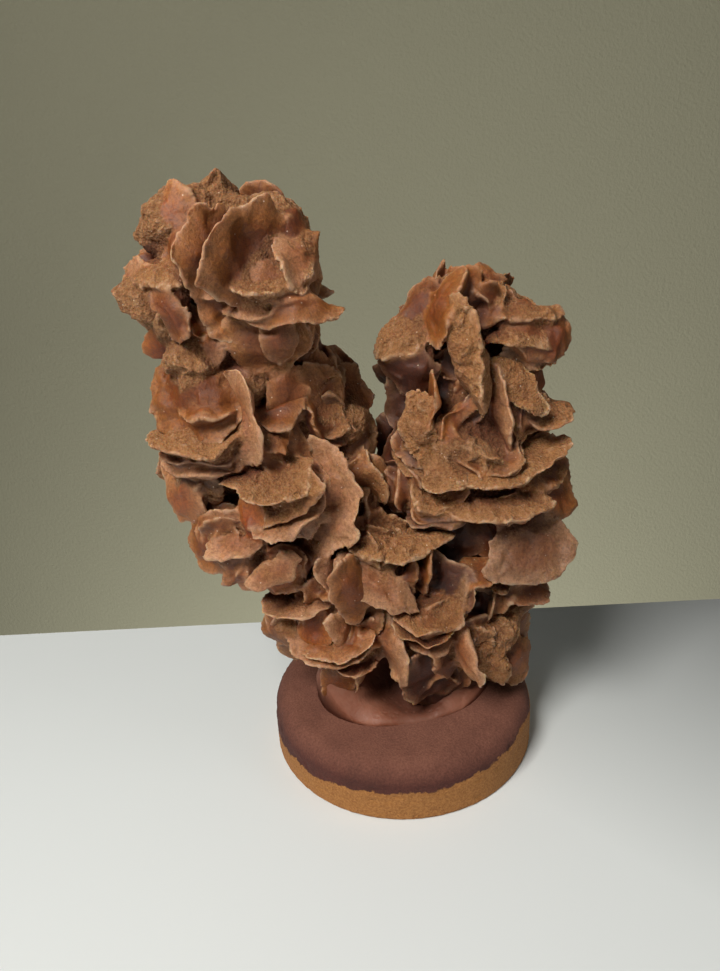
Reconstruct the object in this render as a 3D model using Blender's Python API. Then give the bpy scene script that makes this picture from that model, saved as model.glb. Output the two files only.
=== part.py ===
"""Gypsum sand rose set in mortar on a cast sand disc.

Frame: metres, +Z up, origin at the centre of the disc's underside, -Y is the front.
The rose is a forked growth of gypsum crystals. Every crystal is a lens with an uneven rim,
and all of them are fused, then split once at the fork: foot, left arm and right arm.
Sizes in the crystal lists are millimetres, in this same frame.
"""
import math
from collections import namedtuple

import bmesh
import bpy
import numpy as np
from mathutils import Matrix, Vector

MM = 0.001

# ---- driving dimensions, millimetres
DISC_RADIUS = 42.5
DISC_HEIGHT = 18.5
DISC_SEGMENTS = 48
DISC_TOP_ROUND = 3.0
DISC_FOOT_ROUND = 0.8
GAP = 0.3                      # clear space between neighbouring pieces
RIM_POINTS = 9                 # corners round a crystal's rim
RIM_WAVE = 0.06                # unevenness of a rim
RIM_SPREAD = 1.07              # a corner stands out past the round rim that it stands for
SEED = 411

Crystal = namedtuple("Crystal", "x y z face tilt wide tall lean thick dish tip reach",
                     defaults=(0.0, 4.0, 0.0, 0.0, 0.0))
Lump = namedtuple("Lump", "x y z rx ry rz")

# Each crystal: centre x, y, z; the way its face looks (degrees, 0 to the front, 90 to +X);
# how far the face tilts up; half width; half height; lean of its height axis to the left;
# thickness; dish (rim forward of the middle); the direction of a drawn-out tip; its reach.
TOP_LEFT_ROSETTE = [
    Crystal(-34.2, -19, 157.5, 38, -4, 14.5, 12.5, 8, 6, 3),            # front caramel shell
    Crystal(-42.4, -15, 156.5, 22, -2, 12.5, 15.5, 5, 7, 2),            # tall shell behind it
    Crystal(-52.2, -13, 165.8, -35, 10, 6.5, 10, 0, 6),
    Crystal(-50.1, -17, 160.1, -25, 35, 6, 5, 0, 5),
    Crystal(-55.5, -15, 154.3, -30, 73, 8, 7, 0, 7),
    Crystal(-62.5, -12, 149.6, -50, 0, 6.5, 9, 0, 6),
    Crystal(-53.3, -20, 145.1, -30, -5, 5, 7.5, 0, 4, 1),
    Crystal(-56.8, -13, 137.4, -20, -25, 8, 6, 0, 5, 0, 200, 0.2),
    Crystal(-44.8, -19, 151.1, -10, 63, 5.5, 3.5, -25, 3.5),
    Crystal(-29.2, -18, 149.2, 10, 66, 11.5, 7.5, -12, 8),              # pale ledge
    Crystal(-29.1, -20, 143.8, 3, 78, 12, 7.5, -3, 6, 0, 0, 0.28),      # spiked ledge
    Crystal(-29.8, -19, 138.8, 5, -15, 3.6, 6, 8, 3.5),
    Crystal(-31.4, -13, 140.2, 8, -12, 12, 11, 0, 5),
    Crystal(-45.2, -11, 138.7, -5, -10, 7, 8, 0, 5),
    Crystal(-45.8, -16, 135.7, -10, 10, 4, 5, 0, 4),
    Crystal(-22, -15, 152.1, 35, 5, 7, 9.5, 0, 6),
    Crystal(-21, -15, 159, 20, 25, 4.5, 3.5, 0, 3.5, 0, 35, 0.6),       # small horn
    Crystal(-25.3, -13, 164.5, 25, 30, 6.5, 6, 0, 6),
]
LEFT_MIDDLE = [
    Crystal(-50.7, -17, 123.9, -15, 30, 14.5, 13, 12, 9, -2),           # big brown cap
    Crystal(-48.5, -21, 120.9, -12, 80, 8.5, 6.5, 12, 5.5),
    Crystal(-52.2, -19, 113.1, -22, 76, 13, 9, 10, 8),                  # pale sandy ridge
    Crystal(-51, -17, 108.4, -20, 73, 11.5, 7, 10, 5.5),
    Crystal(-52.1, -18, 104.9, -22, 68, 10.5, 6.5, 10, 5.5),
    Crystal(-38.6, -20, 117.5, -42, 5, 7.5, 12.5, 10, 5, 2),            # pale crescent
    Crystal(-31, -16, 118.1, 10, 58, 7, 6, -30, 4.5),
    Crystal(-28.1, -14, 121.8, 25, 0, 5, 8.5, 0, 4),
    Crystal(-22.9, -7, 120.4, 18, 5, 9.5, 13.5, 20, 6),
    Crystal(-11.2, -5, 104.8, 10, 10, 7, 9, 10, 6),
    Crystal(-10.3, -5, 93.2, 20, 0, 8, 10, 0, 6),
    Crystal(-33.1, -19, 111.5, 5, 63, 5.5, 5, -30, 4),
    Crystal(-30.7, -20, 104.9, 25, 25, 5, 5.5, 0, 3, 1.5),
    Crystal(-21.3, -16, 91.1, -22, 6, 13, 18, -8, 6, 3),                # big round pink plate
    Crystal(-33.4, -23, 99.7, -8, 66, 11.5, 8, 5, 7, 2.5, 180, 0.15),   # bowl of the rosette
    Crystal(-28.1, -26, 96.1, -35, 35, 11.5, 4.5, 45, 3.5),
    Crystal(-30.4, -23, 88.5, -8, 58, 10.5, 7, 25, 5.5, 2),
    Crystal(-40.4, -21, 88.6, -40, 0, 4.5, 7.5, 0, 4),
    Crystal(-51.8, -15, 80.3, -35, 5, 8.5, 10, 0, 6, 1.5),
    Crystal(-58.9, -12, 93, -35, -5, 7.5, 8, 0, 5),
    Crystal(-54.4, -14, 97.3, -15, -10, 7.5, 6.5, 0, 5),
    Crystal(-45.7, -22, 81.6, -10, 68, 8, 5.5, 30, 4.5),
    Crystal(-48.7, -13, 85.5, -25, 0, 6, 7, 0, 5),
    Crystal(-34.8, -25, 75, 0, 30, 8.5, 3.5, 23, 3),
]
FOOT_LEFT = [
    Crystal(-2.2, -17, 78.8, 3, 76, 13.5, 9, 0, 6, 0, 0, 0.2),          # sandy shelf at the fork
    Crystal(-7.3, -23, 71.8, 10, 36, 11.5, 8, -32, 6, 0, 0, 0.3),
    Crystal(-15.2, -26, 68.7, 35, -5, 6, 10, 12, 4.5, 0, 270, 0.2),
    Crystal(-19.8, -21, 69.4, 60, 0, 3.5, 8.5, 18, 3.5),
    Crystal(-30.5, -17, 59.5, -12, 68, 10.5, 8, 0, 6, 2.5),             # pale cup
    Crystal(-36.0, -13, 49.6, -35, 0, 6.5, 7, 0, 5),
    Crystal(-25.3, -19, 52.6, -20, 5, 6, 7.5, 0, 4, 1),
    Crystal(-18.5, -22, 53.9, 58, 0, 4.5, 7, 5, 3),
    Crystal(-20.3, -18, 44.3, -8, 72, 13, 8.5, 12, 6, 2.5),             # low bowl
    Crystal(-31.1, -12, 42.9, -20, 10, 8, 7, 0, 5),
    Crystal(-13.7, -13, 38.5, 15, -20, 7, 6, 0, 4),
    Crystal(-12.0, -17, 38.3, 60, -10, 4, 7, -28, 3.5, 0, 270, 0.25),
    Crystal(-2.9, -19, 46.7, -65, 0, 7, 12, 30, 4.5),
    Crystal(-8.8, -17, 55.5, -40, 10, 5, 7.5, 0, 4),
]
FOOT_RIGHT = [
    Crystal(6.7, -18, 33.9, 28, -8, 8.5, 12, 30, 5, 1.5),               # broad blade over the mortar
    Crystal(10.4, -13, 23.5, 15, 5, 9, 6.5, 0, 4),
    Crystal(7.7, -22, 56.0, 12, 70, 11, 7.5, 12, 6, 2.5),               # sandy rim of the dark bowl
    Crystal(13.2, -15, 63.2, -24, 6, 10, 10.5, 0, 5, 2.5),              # dark bowl
    Crystal(16.1, -17, 61.5, -55, 10, 5, 8, 0, 3),
    Crystal(7.1, -19, 70.8, -60, 5, 4, 8, -25, 3),
    Crystal(3.0, -20, 69.6, -55, 0, 3.5, 5.5, -15, 3),
    Crystal(34.3, -6, 41.1, 30, 0, 8.5, 9, 0, 7),
    Crystal(34.6, -9, 32.0, 30, 5, 7, 9, 0, 6),
    Crystal(24.1, -17, 38.7, 22, 10, 7, 10.5, 33, 5, 0, 270, 0.2),
    Crystal(18.1, -22, 44.7, -55, 0, 4.5, 11, 33, 4),
    Crystal(11.8, -21, 40.2, 50, 0, 4.5, 7.5, 35, 3.5),
    Crystal(7.8, -20, 47.8, 0, 68, 7, 5.5, -15, 4),
    Crystal(23.8, -16, 66.8, 0, 70, 7.5, 6, 0, 5),
    Crystal(38.4, -9, 57.1, 15, 68, 7.5, 7, 0, 5),
    Crystal(20.9, -11, 50.6, 5, 0, 8, 9, 0, 5),
]
RIGHT_TOP = [
    Crystal(14.1, -11, 140.6, -64, 8, 8.5, 12, -22, 6),                 # leaning plate
    Crystal(9.9, -3, 139.3, -20, 20, 8, 8, 0, 6),
    Crystal(3.4, -4, 132.7, -25, 60, 9, 6.5, 20, 7),
    Crystal(3.9, -6, 125, -25, -15, 8, 7.5, 0, 6),
    Crystal(24.2, -5, 145.4, 15, 30, 5.5, 5.5, 0, 6),
    Crystal(19, -8, 146.8, -30, 20, 4, 5, 0, 5),
    Crystal(28.5, -4, 140, 30, 35, 7, 6, 0, 5),
    Crystal(20.4, -11, 129.8, -82, 0, 9, 16, 13, 8),                    # spindle
    Crystal(29.6, -9, 112, -88, 2, 9, 12, 0, 6),
    Crystal(34.5, -7, 138.4, 10, 84, 11, 6.5, -4, 6),
    Crystal(32, -11, 133, 8, 78, 8.5, 5, 0, 4.5),
    Crystal(39.5, -9, 132.4, 20, 14, 9.5, 7, -8, 8),
    Crystal(35.4, -8, 127, 18, -20, 8, 7, 0, 6),
    Crystal(37.9, -6, 120.3, 30, 0, 4.5, 5.5, 0, 4.5),
    Crystal(32.8, -13, 120.3, 15, 30, 10, 4.5, -48, 3.5),
    Crystal(41.3, -7, 110.5, 10, 78, 6.5, 6.5, 0, 4.5, 0, 10, 0.25),
    Crystal(12.1, -2, 116, -22, 8, 14.5, 13, 0, 4.5, 3),
    Crystal(9.5, -12, 118, -85, 0, 5, 7.5, 0, 1.8),                     # needle
    Crystal(6.4, -14, 110.7, -12, 10, 4.5, 9.5, 8, 7),
    Crystal(18.2, -12, 113.3, -30, 20, 3, 6.5, -42, 3),
]
RIGHT_MIDDLE = [
    Crystal(11.5, -13, 99, -25, 58, 9.5, 5.5, -38, 6),
    Crystal(29.1, -13, 96.6, 4, 66, 16, 8.5, 13, 7, 3, 8, 0.25),        # wide sandy bowl
    Crystal(24.9, -13, 87.3, -2, 66, 17.5, 10, 0, 7, 3, 178, 0.1),      # wider bowl below it
    Crystal(45, -8, 86.3, 30, 25, 8, 6.5, -35, 4.5),
    Crystal(37, -14, 93, 10, 30, 4.5, 3, -20, 2.5),
    Crystal(46.5, -4, 91.9, 25, 0, 5, 7, 0, 5),
    Crystal(10.9, -14, 84.5, -5, 73, 8, 5.5, 0, 4),
    Crystal(36.5, -16, 73.1, 8, 28, 13.5, 10, 8, 6, 1, 185, 0.15),      # big pale shell
    Crystal(26.9, -10, 75, -10, 5, 7, 6.5, 0, 6),
    Crystal(3.2, -5, 100.2, -45, 0, 8, 10, 0, 6),
    Crystal(4.8, -5, 87.6, -45, -5, 8, 9, 0, 6),
    Crystal(14.9, -8, 73.4, -20, 0, 8, 8, 0, 6),
]
FAN_HUB = (-42.0, -20.0, 80.0)
FAN_ANGLES = (186, 211, 234, 253, 272)      # a fan of narrow blades below the left arm
FAN_REACH = 6.0

# sandy lumps between the crystals, and the sand-filled heart of each branch
CRUST_LUMPS = [
    Lump(-55, -8, 166, 8, 8, 7.5), Lump(-44, -7, 167, 9, 9, 8.5), Lump(-29, -6, 161, 9, 9, 9),
    Lump(-61, -15, 149, 6, 6, 6.5), Lump(-57.5, -14, 143, 5, 5, 5), Lump(-51.7, -17, 132, 6, 6, 5),
    Lump(-36.7, -13, 124.6, 5, 5, 5), Lump(-12.5, -5, 111, 5.5, 6, 6), Lump(18, -11, 103, 9, 8, 5),
    Lump(31, -10, 43, 6, 6, 7),
]
HEARTS = [
    Lump(-41, -6, 153, 15, 15, 17), Lump(-43, -5, 133, 12, 13, 13), Lump(-46, -5, 116, 15, 15, 14),
    Lump(-27, -4, 112, 15, 14, 15), Lump(-31, -6, 94, 18, 17, 15), Lump(-46, -6, 84, 11, 12, 12),
    Lump(-17, -5, 79, 16, 16, 14), Lump(-3, -5, 66, 18, 16, 14), Lump(-23, -6, 58, 16, 15, 13),
    Lump(9, -3, 52, 18, 16, 14), Lump(24, 1, 36, 15, 16, 17), Lump(8, 3, 34, 17, 15, 14),
    Lump(24, 0, 63, 17, 15, 14), Lump(27, 0, 79, 17, 15, 14), Lump(27, 0, 94, 18, 15, 13),
    Lump(22, 2, 109, 17, 14, 14), Lump(22, 2, 124, 16, 13, 14), Lump(22, 0, 138, 15, 12, 11),
    Lump(-47, -6, 100, 12, 13, 12), Lump(-37, -8, 72, 11, 13, 12), Lump(-9, -5, 47, 12, 14, 10),
]
# the back is grown from the larger crystals of the front, turned over and shifted at random
BACK_MIRROR_Y = (-4.5, 1.0)    # mirror plane of the left branch and of the right branch
BACK_SPLIT_X = 3.0
BACK_DEPTH = 0.72              # distance behind the mirror plane, as a share of that in front
BACK_SMALLEST = 72.0           # half width times half height of the smallest one taken
BACK_SHIFT = 3.0
BACK_TURN = 24.0
# crystals that stand out of the sides: heart, from and to direction (0 to +X, 90 back), how many
SIDE_ROSETTES = [
    (0, 120, 215, 3), (0, 0, 60, 2), (1, 140, 200, 2), (1, 20, 60, 1), (2, 130, 200, 3),
    (3, 10, 70, 2), (4, 20, 60, 1), (5, 120, 200, 2), (8, 120, 190, 2), (10, -20, 50, 2),
    (12, -10, 50, 2), (13, -10, 50, 2), (14, 0, 60, 2), (15, 130, 200, 2), (15, 0, 50, 1),
    (16, 130, 210, 2), (17, 120, 180, 2), (17, 20, 70, 1),
]
SIDE_HALF_WIDTH = 9.5
SIDE_HALF_HEIGHT = 11.0

# the fork: each arm begins above one of these planes (a point and an upward normal)
LEFT_CUT = ((-12.0, 0.0, 71.0), (-0.6, 0.0, 0.8))
RIGHT_CUT = ((14.0, 0.0, 72.0), (0.35, 0.0, 0.94))
FORK = ((1.5, 0.0, 78.0), (0.97, 0.0, 0.243))      # the arms are parted here, above the fork


def face_axes(face, tilt, lean):
    """Side, height and face directions of a crystal from its three angles in degrees."""
    a, e, r = (math.radians(v) for v in (face, tilt, lean))
    normal = Vector((math.sin(a) * math.cos(e), -math.cos(a) * math.cos(e), math.sin(e)))
    side = Vector((math.cos(a), math.sin(a), 0))
    height = normal.cross(side)
    leaned_side = side * math.cos(r) + height * math.sin(r)
    leaned_height = height * math.cos(r) - side * math.sin(r)
    return leaned_side, leaned_height, normal


def rim_radius(angles, seed, tip, reach):
    """Rim of a crystal: 1, three seeded waves, and a corner drawn out towards tip."""
    rng = np.random.default_rng(seed)
    radius = np.ones_like(angles)
    for waves in (2, 3, 5):
        radius += rng.uniform(0.3, 1.0) * RIM_WAVE * np.sin(waves * angles + rng.uniform(0, 6.28))
    away = np.angle(np.exp(1j * (angles - math.radians(tip))))
    return radius + reach * np.exp(-(away / 0.5) ** 2)


def crystal_points(axes, centre, wide, tall, thick, dish, tip, reach, seed):
    """A sharp uneven rim, and the middle of each face."""
    side, height, normal = (np.array(v) for v in axes)
    angle = (np.arange(RIM_POINTS) + (seed % 7) / 7) * 2 * math.pi / RIM_POINTS
    radius = rim_radius(angle, seed, tip, reach) * RIM_SPREAD
    across = np.outer(radius * np.cos(angle) * wide, side)
    along = np.outer(radius * np.sin(angle) * tall, height)
    rim = np.array(centre) + across + along + dish * normal
    middles = np.array(centre) + np.outer([thick / 2, -thick / 2], normal)
    return np.vstack([rim, middles]) * MM


def crystal_faces():
    """Triangles from the rim to the middle of the front face and of the back face."""
    front, back = RIM_POINTS, RIM_POINTS + 1
    ring = [(i, (i + 1) % RIM_POINTS) for i in range(RIM_POINTS)]
    return [(i, j, front) for i, j in ring] + [(j, i, back) for i, j in ring]


def add_crystal(group, axes, centre, wide, tall, thick, dish=0, tip=0, reach=0, seed=0):
    """One crystal as a closed mesh in the group that will be fused."""
    points = crystal_points(axes, centre, wide, tall, thick, dish, tip, reach, seed)
    mesh = bpy.data.meshes.new("crystal")
    mesh.from_pydata(points.tolist(), [], crystal_faces())
    group.objects.link(bpy.data.objects.new("crystal", mesh))


def add_lump(group, lump, steps, seed):
    """A sandy lump: a coarse ball, pushed in and out a little, as a closed mesh."""
    shape = bmesh.new()
    bmesh.ops.create_icosphere(shape, subdivisions=steps, radius=1)
    rng = np.random.default_rng(seed)
    size = Vector((lump.rx, lump.ry, lump.rz)) * MM
    for vert in shape.verts:
        vert.co = Vector(a * b for a, b in zip(vert.co * rng.uniform(0.93, 1.05), size))
    bmesh.ops.translate(shape, verts=shape.verts, vec=Vector((lump.x, lump.y, lump.z)) * MM)
    mesh = bpy.data.meshes.new("lump")
    shape.to_mesh(mesh)
    shape.free()
    group.objects.link(bpy.data.objects.new("lump", mesh))


def back_crystals(front):
    """Crystals of the back: the larger front ones turned over, shifted and tilted at random."""
    rng = np.random.default_rng(SEED)
    rows = []
    for row in front:
        if row.wide * row.tall < BACK_SMALLEST:
            continue
        mirror_y = BACK_MIRROR_Y[row.x > BACK_SPLIT_X]
        shift = rng.uniform(-BACK_SHIFT, BACK_SHIFT, 3)
        turn = rng.uniform(-BACK_TURN, BACK_TURN, 3)
        rows.append(row._replace(
            x=row.x + shift[0],
            y=mirror_y + BACK_DEPTH * (mirror_y - row.y) + 0.5 * shift[1],
            z=row.z + shift[2],
            face=180 - row.face + turn[0], tilt=row.tilt + turn[1], lean=turn[2] - row.lean,
            wide=row.wide * rng.uniform(0.85, 1.1), tip=180 - row.tip))
    return rows


def side_crystals():
    """Blades that stand out of the hearts' sides, each turned about its own outward line."""
    rng = np.random.default_rng(SEED + 1)
    rows = []
    for heart_index, start, end, count in SIDE_ROSETTES:
        heart = HEARTS[heart_index]
        for i in range(count):
            around = math.radians(start + (end - start) * (i + rng.uniform(0.2, 0.8)) / count)
            level = rng.uniform(-0.5, 0.6)
            out = Vector((math.cos(around), math.sin(around), level)).normalized()
            flat = out.cross(Vector((0, 0, 1))).normalized()
            normal = Matrix.Rotation(rng.uniform(0, math.pi), 3, out) @ flat
            normal = (normal + out * rng.uniform(-0.1, 0.7)).normalized()
            height = (out - normal * out.dot(normal)).normalized()
            root = [middle + way * size * 0.75 for middle, way, size in
                    zip((heart.x, heart.y, heart.z), out, (heart.rx, heart.ry, heart.rz))]
            grown = rng.uniform(0.8, 1.1)
            rows.append(((height.cross(normal), height, normal), root, SIDE_HALF_WIDTH * grown,
                         SIDE_HALF_HEIGHT * grown, rng.uniform(3.5, 5.0)))
    return rows


def all_front_crystals():
    """The hand-placed crystals in order, with the fan of narrow blades."""
    rows = TOP_LEFT_ROSETTE + LEFT_MIDDLE + FOOT_LEFT + FOOT_RIGHT + RIGHT_TOP + RIGHT_MIDDLE
    hub_x, hub_y, hub_z = FAN_HUB
    for i, angle in enumerate(FAN_ANGLES):
        a = math.radians(angle)
        x = hub_x + FAN_REACH * math.cos(a)
        z = hub_z + FAN_REACH * math.sin(a)
        rows.append(Crystal(x, hub_y, z, -40 if i % 2 else 5, 0, 2.8, 6.5, angle - 90, 3.2))
    return rows


def fill_group(group):
    """Put every crystal, lump and heart of the rose in one group."""
    front = all_front_crystals()
    for i, row in enumerate(front + back_crystals(front)):
        axes = face_axes(row.face, row.tilt, row.lean)
        add_crystal(group, axes, (row.x, row.y, row.z), row.wide, row.tall, row.thick,
                    row.dish, row.tip, row.reach, SEED + i)
    for i, (axes, centre, wide, tall, thick) in enumerate(side_crystals()):
        add_crystal(group, axes, centre, wide, tall, thick, seed=2 * SEED + i)
    for i, lump in enumerate(CRUST_LUMPS):
        add_lump(group, lump, 2, 3 * SEED + i)
    for i, lump in enumerate(HEARTS):
        add_lump(group, lump, 1, 4 * SEED + i)


def new_group(name):
    """An empty collection in the scene."""
    group = bpy.data.collections.new(name)
    bpy.context.scene.collection.children.link(group)
    return group


def link_mesh(name, mesh):
    """Put a mesh in the scene as an object."""
    thing = bpy.data.objects.new(name, mesh)
    bpy.context.scene.collection.objects.link(thing)
    return thing


def baked(thing, name):
    """A copy of an object's evaluated mesh."""
    bpy.context.view_layer.update()
    graph = bpy.context.evaluated_depsgraph_get()
    mesh = bpy.data.meshes.new_from_object(thing.evaluated_get(graph))
    mesh.name = name
    return mesh


def boolean(name, mesh, operation, group):
    """The mesh joined with, cut by or kept inside every solid of a group."""
    thing = link_mesh(name, mesh)
    step = thing.modifiers.new(operation.lower(), "BOOLEAN")
    step.operation = operation
    step.solver = "EXACT"
    step.operand_type = "COLLECTION"
    step.collection = group
    result = baked(thing, name)
    bpy.data.objects.remove(thing)
    return result


def clear_group(group):
    """Remove a helper collection and what is in it."""
    for thing in list(group.objects):
        bpy.data.objects.remove(thing)
    bpy.data.collections.remove(group)


def largest_shell(mesh):
    """Keep the outer shell of the biggest body; sealed hollows and loose chips go."""
    shape = bmesh.new()
    shape.from_mesh(mesh)
    todo = set(shape.verts)
    islands = []
    while todo:
        stack = [todo.pop()]
        island = set(stack)
        while stack:
            for edge in stack.pop().link_edges:
                for vert in edge.verts:
                    if vert in todo:
                        todo.discard(vert)
                        island.add(vert)
                        stack.append(vert)
        islands.append(island)
    islands.sort(key=len)
    spare = [vert for island in islands[:-1] for vert in island]
    bmesh.ops.delete(shape, geom=spare, context="VERTS")
    bmesh.ops.triangulate(shape, faces=shape.faces)
    shape.to_mesh(mesh)
    shape.free()
    return mesh


def half_space(point, normal, shift, size=0.4):
    """A large block whose lower face is the plane, moved along its normal by shift."""
    shape = bmesh.new()
    bmesh.ops.create_cube(shape, size=size)
    normal = Vector(normal).normalized()
    turn = normal.to_track_quat("Z", "Y").to_matrix().to_4x4()
    place = Vector(point) * MM + normal * (size / 2 + shift * MM)
    bmesh.ops.transform(shape, matrix=Matrix.Translation(place) @ turn, verts=shape.verts)
    mesh = bpy.data.meshes.new("half_space")
    shape.to_mesh(mesh)
    shape.free()
    return mesh


def turned(name, profile, segments):
    """A closed solid turned about Z from (radius, height) corners, lowest first."""
    shape = bmesh.new()
    rings = []
    for radius, height in profile:
        ring = []
        for i in range(segments):
            a = 2 * math.pi * i / segments
            ring.append(shape.verts.new((radius * math.cos(a) * MM, radius * math.sin(a) * MM,
                                         height * MM)))
        rings.append(ring)
    for low, high in zip(rings, rings[1:]):
        for i in range(segments):
            j = (i + 1) % segments
            shape.faces.new((low[i], low[j], high[j], high[i]))
    shape.faces.new(list(reversed(rings[0])))
    shape.faces.new(rings[-1])
    mesh = bpy.data.meshes.new(name)
    shape.to_mesh(mesh)
    shape.free()
    return mesh


def base_disc_mesh():
    """The cast disc: flat underside, upright side, softly rounded top edge."""
    profile = [(DISC_RADIUS - DISC_FOOT_ROUND, 0.0), (DISC_RADIUS, DISC_FOOT_ROUND)]
    for i in range(5):
        a = math.radians(90 * i / 4)
        profile.append((DISC_RADIUS - DISC_TOP_ROUND * (1 - math.cos(a)),
                        DISC_HEIGHT - DISC_TOP_ROUND * (1 - math.sin(a))))
    return turned("base_disc", profile, DISC_SEGMENTS)


MORTAR_CENTRE = (-1.0, -1.0)
MORTAR_AROUND = 36
MORTAR_RINGS = (1.0, 0.93, 0.8, 0.64, 0.46, 0.28, 0.12)
# outline of the mortar puddle: direction in degrees (0 to +X, -90 to the front), radius
MORTAR_OUTLINE = [(-180, 27), (-150, 27), (-120, 24), (-90, 21), (-60, 22), (-30, 26), (0, 30),
                  (30, 27), (60, 22), (90, 20), (120, 21), (150, 25)]
MORTAR_LUMPS = [(-20.5, -9.0, 9.0, 14.0), (-8.0, 6.0, 13.0, 9.0), (14.0, 4.0, 15.0, 7.0)]
MORTAR_LIP = 3.2               # height of the puddle's rounded lip over the disc


def mortar_mesh(grow):
    """The puddle: a rounded lip on a wandering outline, with lumps rising inside it."""
    angle = np.arange(MORTAR_AROUND) * 2 * math.pi / MORTAR_AROUND - math.pi
    way, radius = np.array(MORTAR_OUTLINE, float).T
    outline = np.interp(np.degrees(angle), np.append(way, 180), np.append(radius, radius[0]))
    floor = DISC_HEIGHT + GAP - grow
    points = []
    for share in MORTAR_RINGS:
        x = MORTAR_CENTRE[0] + (outline * share + grow) * np.cos(angle)
        y = MORTAR_CENTRE[1] + (outline * share + grow) * np.sin(angle)
        lip = MORTAR_LIP * np.sqrt(max(0.0, 1 - share ** 4)) + 0.6
        z = np.full(MORTAR_AROUND, DISC_HEIGHT + GAP + lip)
        for lump_x, lump_y, spread, rise in MORTAR_LUMPS:
            z += rise * np.exp(-(((x - lump_x) ** 2 + (y - lump_y) ** 2) / spread ** 2) ** 1.5)
        points.append(np.stack([x, y, z + grow], 1))
    points.append(np.array([[*points[-1].mean(0)]]))
    low = points[0].copy()
    low[:, 2] = floor
    vertices = np.vstack([low] + points) * MM
    n = MORTAR_AROUND
    faces = [tuple(reversed(range(n)))]
    for ring in range(len(MORTAR_RINGS)):
        for i in range(n):
            j = (i + 1) % n
            faces.append((ring * n + i, ring * n + j, ring * n + n + j, ring * n + n + i))
    top = len(MORTAR_RINGS) * n
    faces += [(top + i, top + (i + 1) % n, top + n) for i in range(n)]
    mesh = bpy.data.meshes.new("mortar")
    mesh.from_pydata(vertices.tolist(), [], faces)
    return mesh


def group_of(*meshes):
    """A helper collection that holds the given meshes."""
    group = new_group("helpers")
    for mesh in meshes:
        group.objects.link(bpy.data.objects.new("helper", mesh))
    return group


def whole_rose():
    """All crystals, lumps and hearts fused in one closed skin."""
    group = new_group("crystals")
    fill_group(group)
    first = group.objects[0]
    seed_mesh = first.data.copy()
    bpy.data.objects.remove(first)
    rose = boolean("rose", seed_mesh, "UNION", group)
    clear_group(group)
    return largest_shell(rose)


def kept(mesh, operation, *cutters):
    """The mesh after one Boolean with helper solids, as one closed shell."""
    group = group_of(*cutters)
    result = largest_shell(boolean("piece", mesh.copy(), operation, group))
    clear_group(group)
    return result


def arm_region(cut, keep_side, shift):
    """Where an arm is: above its cut and on its own side of the fork, moved out by shift."""
    above = half_space(cut[0], cut[1], -shift)
    away = Vector(FORK[1]) * -keep_side
    other_side = half_space(FORK[0], away, shift, 0.6)
    return kept(above, "DIFFERENCE", other_side)


def split_rose(rose):
    """Foot, left arm and right arm, with the gap left open at the fork."""
    half = GAP / 2
    left = kept(rose, "INTERSECT", arm_region(LEFT_CUT, -1, -half))
    right = kept(rose, "INTERSECT", arm_region(RIGHT_CUT, 1, -half))
    without_left = kept(rose, "DIFFERENCE", arm_region(LEFT_CUT, -1, half))
    foot = kept(without_left, "DIFFERENCE", arm_region(RIGHT_CUT, 1, half))
    return foot, left, right


def stone_finish(name, colour, roughness):
    """A plain stone material in the piece's main colour."""
    finish = bpy.data.materials.new(name)
    finish.use_nodes = True
    shader = finish.node_tree.nodes["Principled BSDF"]
    shader.inputs["Base Color"].default_value = (*colour, 1)
    shader.inputs["Roughness"].default_value = roughness
    return finish


def place(name, mesh, finish):
    """A finished piece in the scene, under the name of its node."""
    mesh.name = name
    mesh.materials.clear()
    mesh.materials.append(finish)
    return link_mesh(name, mesh)


def main():
    """Build the five pieces."""
    for thing in list(bpy.data.objects):
        bpy.data.objects.remove(thing)
    crystal_finish = stone_finish("sand_rose_gypsum", (0.52, 0.27, 0.14), 0.5)
    foot, left, right = split_rose(whole_rose())
    under = half_space((0, 0, DISC_HEIGHT + GAP), (0, 0, -1), 0)
    foot = kept(foot, "DIFFERENCE", under)
    foot = kept(foot, "DIFFERENCE", mortar_mesh(GAP))
    place("base_disc", base_disc_mesh(), stone_finish("cast_sand", (0.3, 0.15, 0.13), 0.9))
    place("mortar_bed", mortar_mesh(0), stone_finish("mortar", (0.33, 0.16, 0.13), 0.7))
    place("rose_foot", foot, crystal_finish)
    place("rose_left_arm", left, crystal_finish)
    place("rose_right_arm", right, crystal_finish)


if __name__ == "__main__":
    main()
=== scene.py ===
# %% [markdown]
# # A gypsum sand rose on a cast disc
# A sand rose is gypsum that grew in wet desert sand. Its crystals are flat lenses that cut
# through each other in every direction and lock the sand between them. This one forks in two
# arms. It stands in a puddle of mortar on a disc of cast sand, painted above and bare below.
#
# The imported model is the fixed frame. The disc, the mortar and the three parts of the rose are
# made again here in fine detail, each in the place of its own node.

# %% The frame
import math
from collections import namedtuple

import bpy
import numpy as np
from mathutils import Matrix, Vector


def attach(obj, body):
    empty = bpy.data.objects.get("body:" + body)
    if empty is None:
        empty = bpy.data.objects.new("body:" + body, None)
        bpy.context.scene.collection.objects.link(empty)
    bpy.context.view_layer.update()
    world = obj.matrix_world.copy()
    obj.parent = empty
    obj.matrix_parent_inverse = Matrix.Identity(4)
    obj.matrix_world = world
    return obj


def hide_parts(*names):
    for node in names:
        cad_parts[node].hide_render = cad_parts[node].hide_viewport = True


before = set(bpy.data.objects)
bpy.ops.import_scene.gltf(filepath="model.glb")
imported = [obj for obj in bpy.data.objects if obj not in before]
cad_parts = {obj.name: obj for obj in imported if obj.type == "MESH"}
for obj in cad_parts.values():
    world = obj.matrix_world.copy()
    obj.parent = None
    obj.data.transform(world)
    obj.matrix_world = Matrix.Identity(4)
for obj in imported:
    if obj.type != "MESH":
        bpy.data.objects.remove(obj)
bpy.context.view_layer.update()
MM = 0.001
print("nodes:", sorted(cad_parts))

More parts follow.
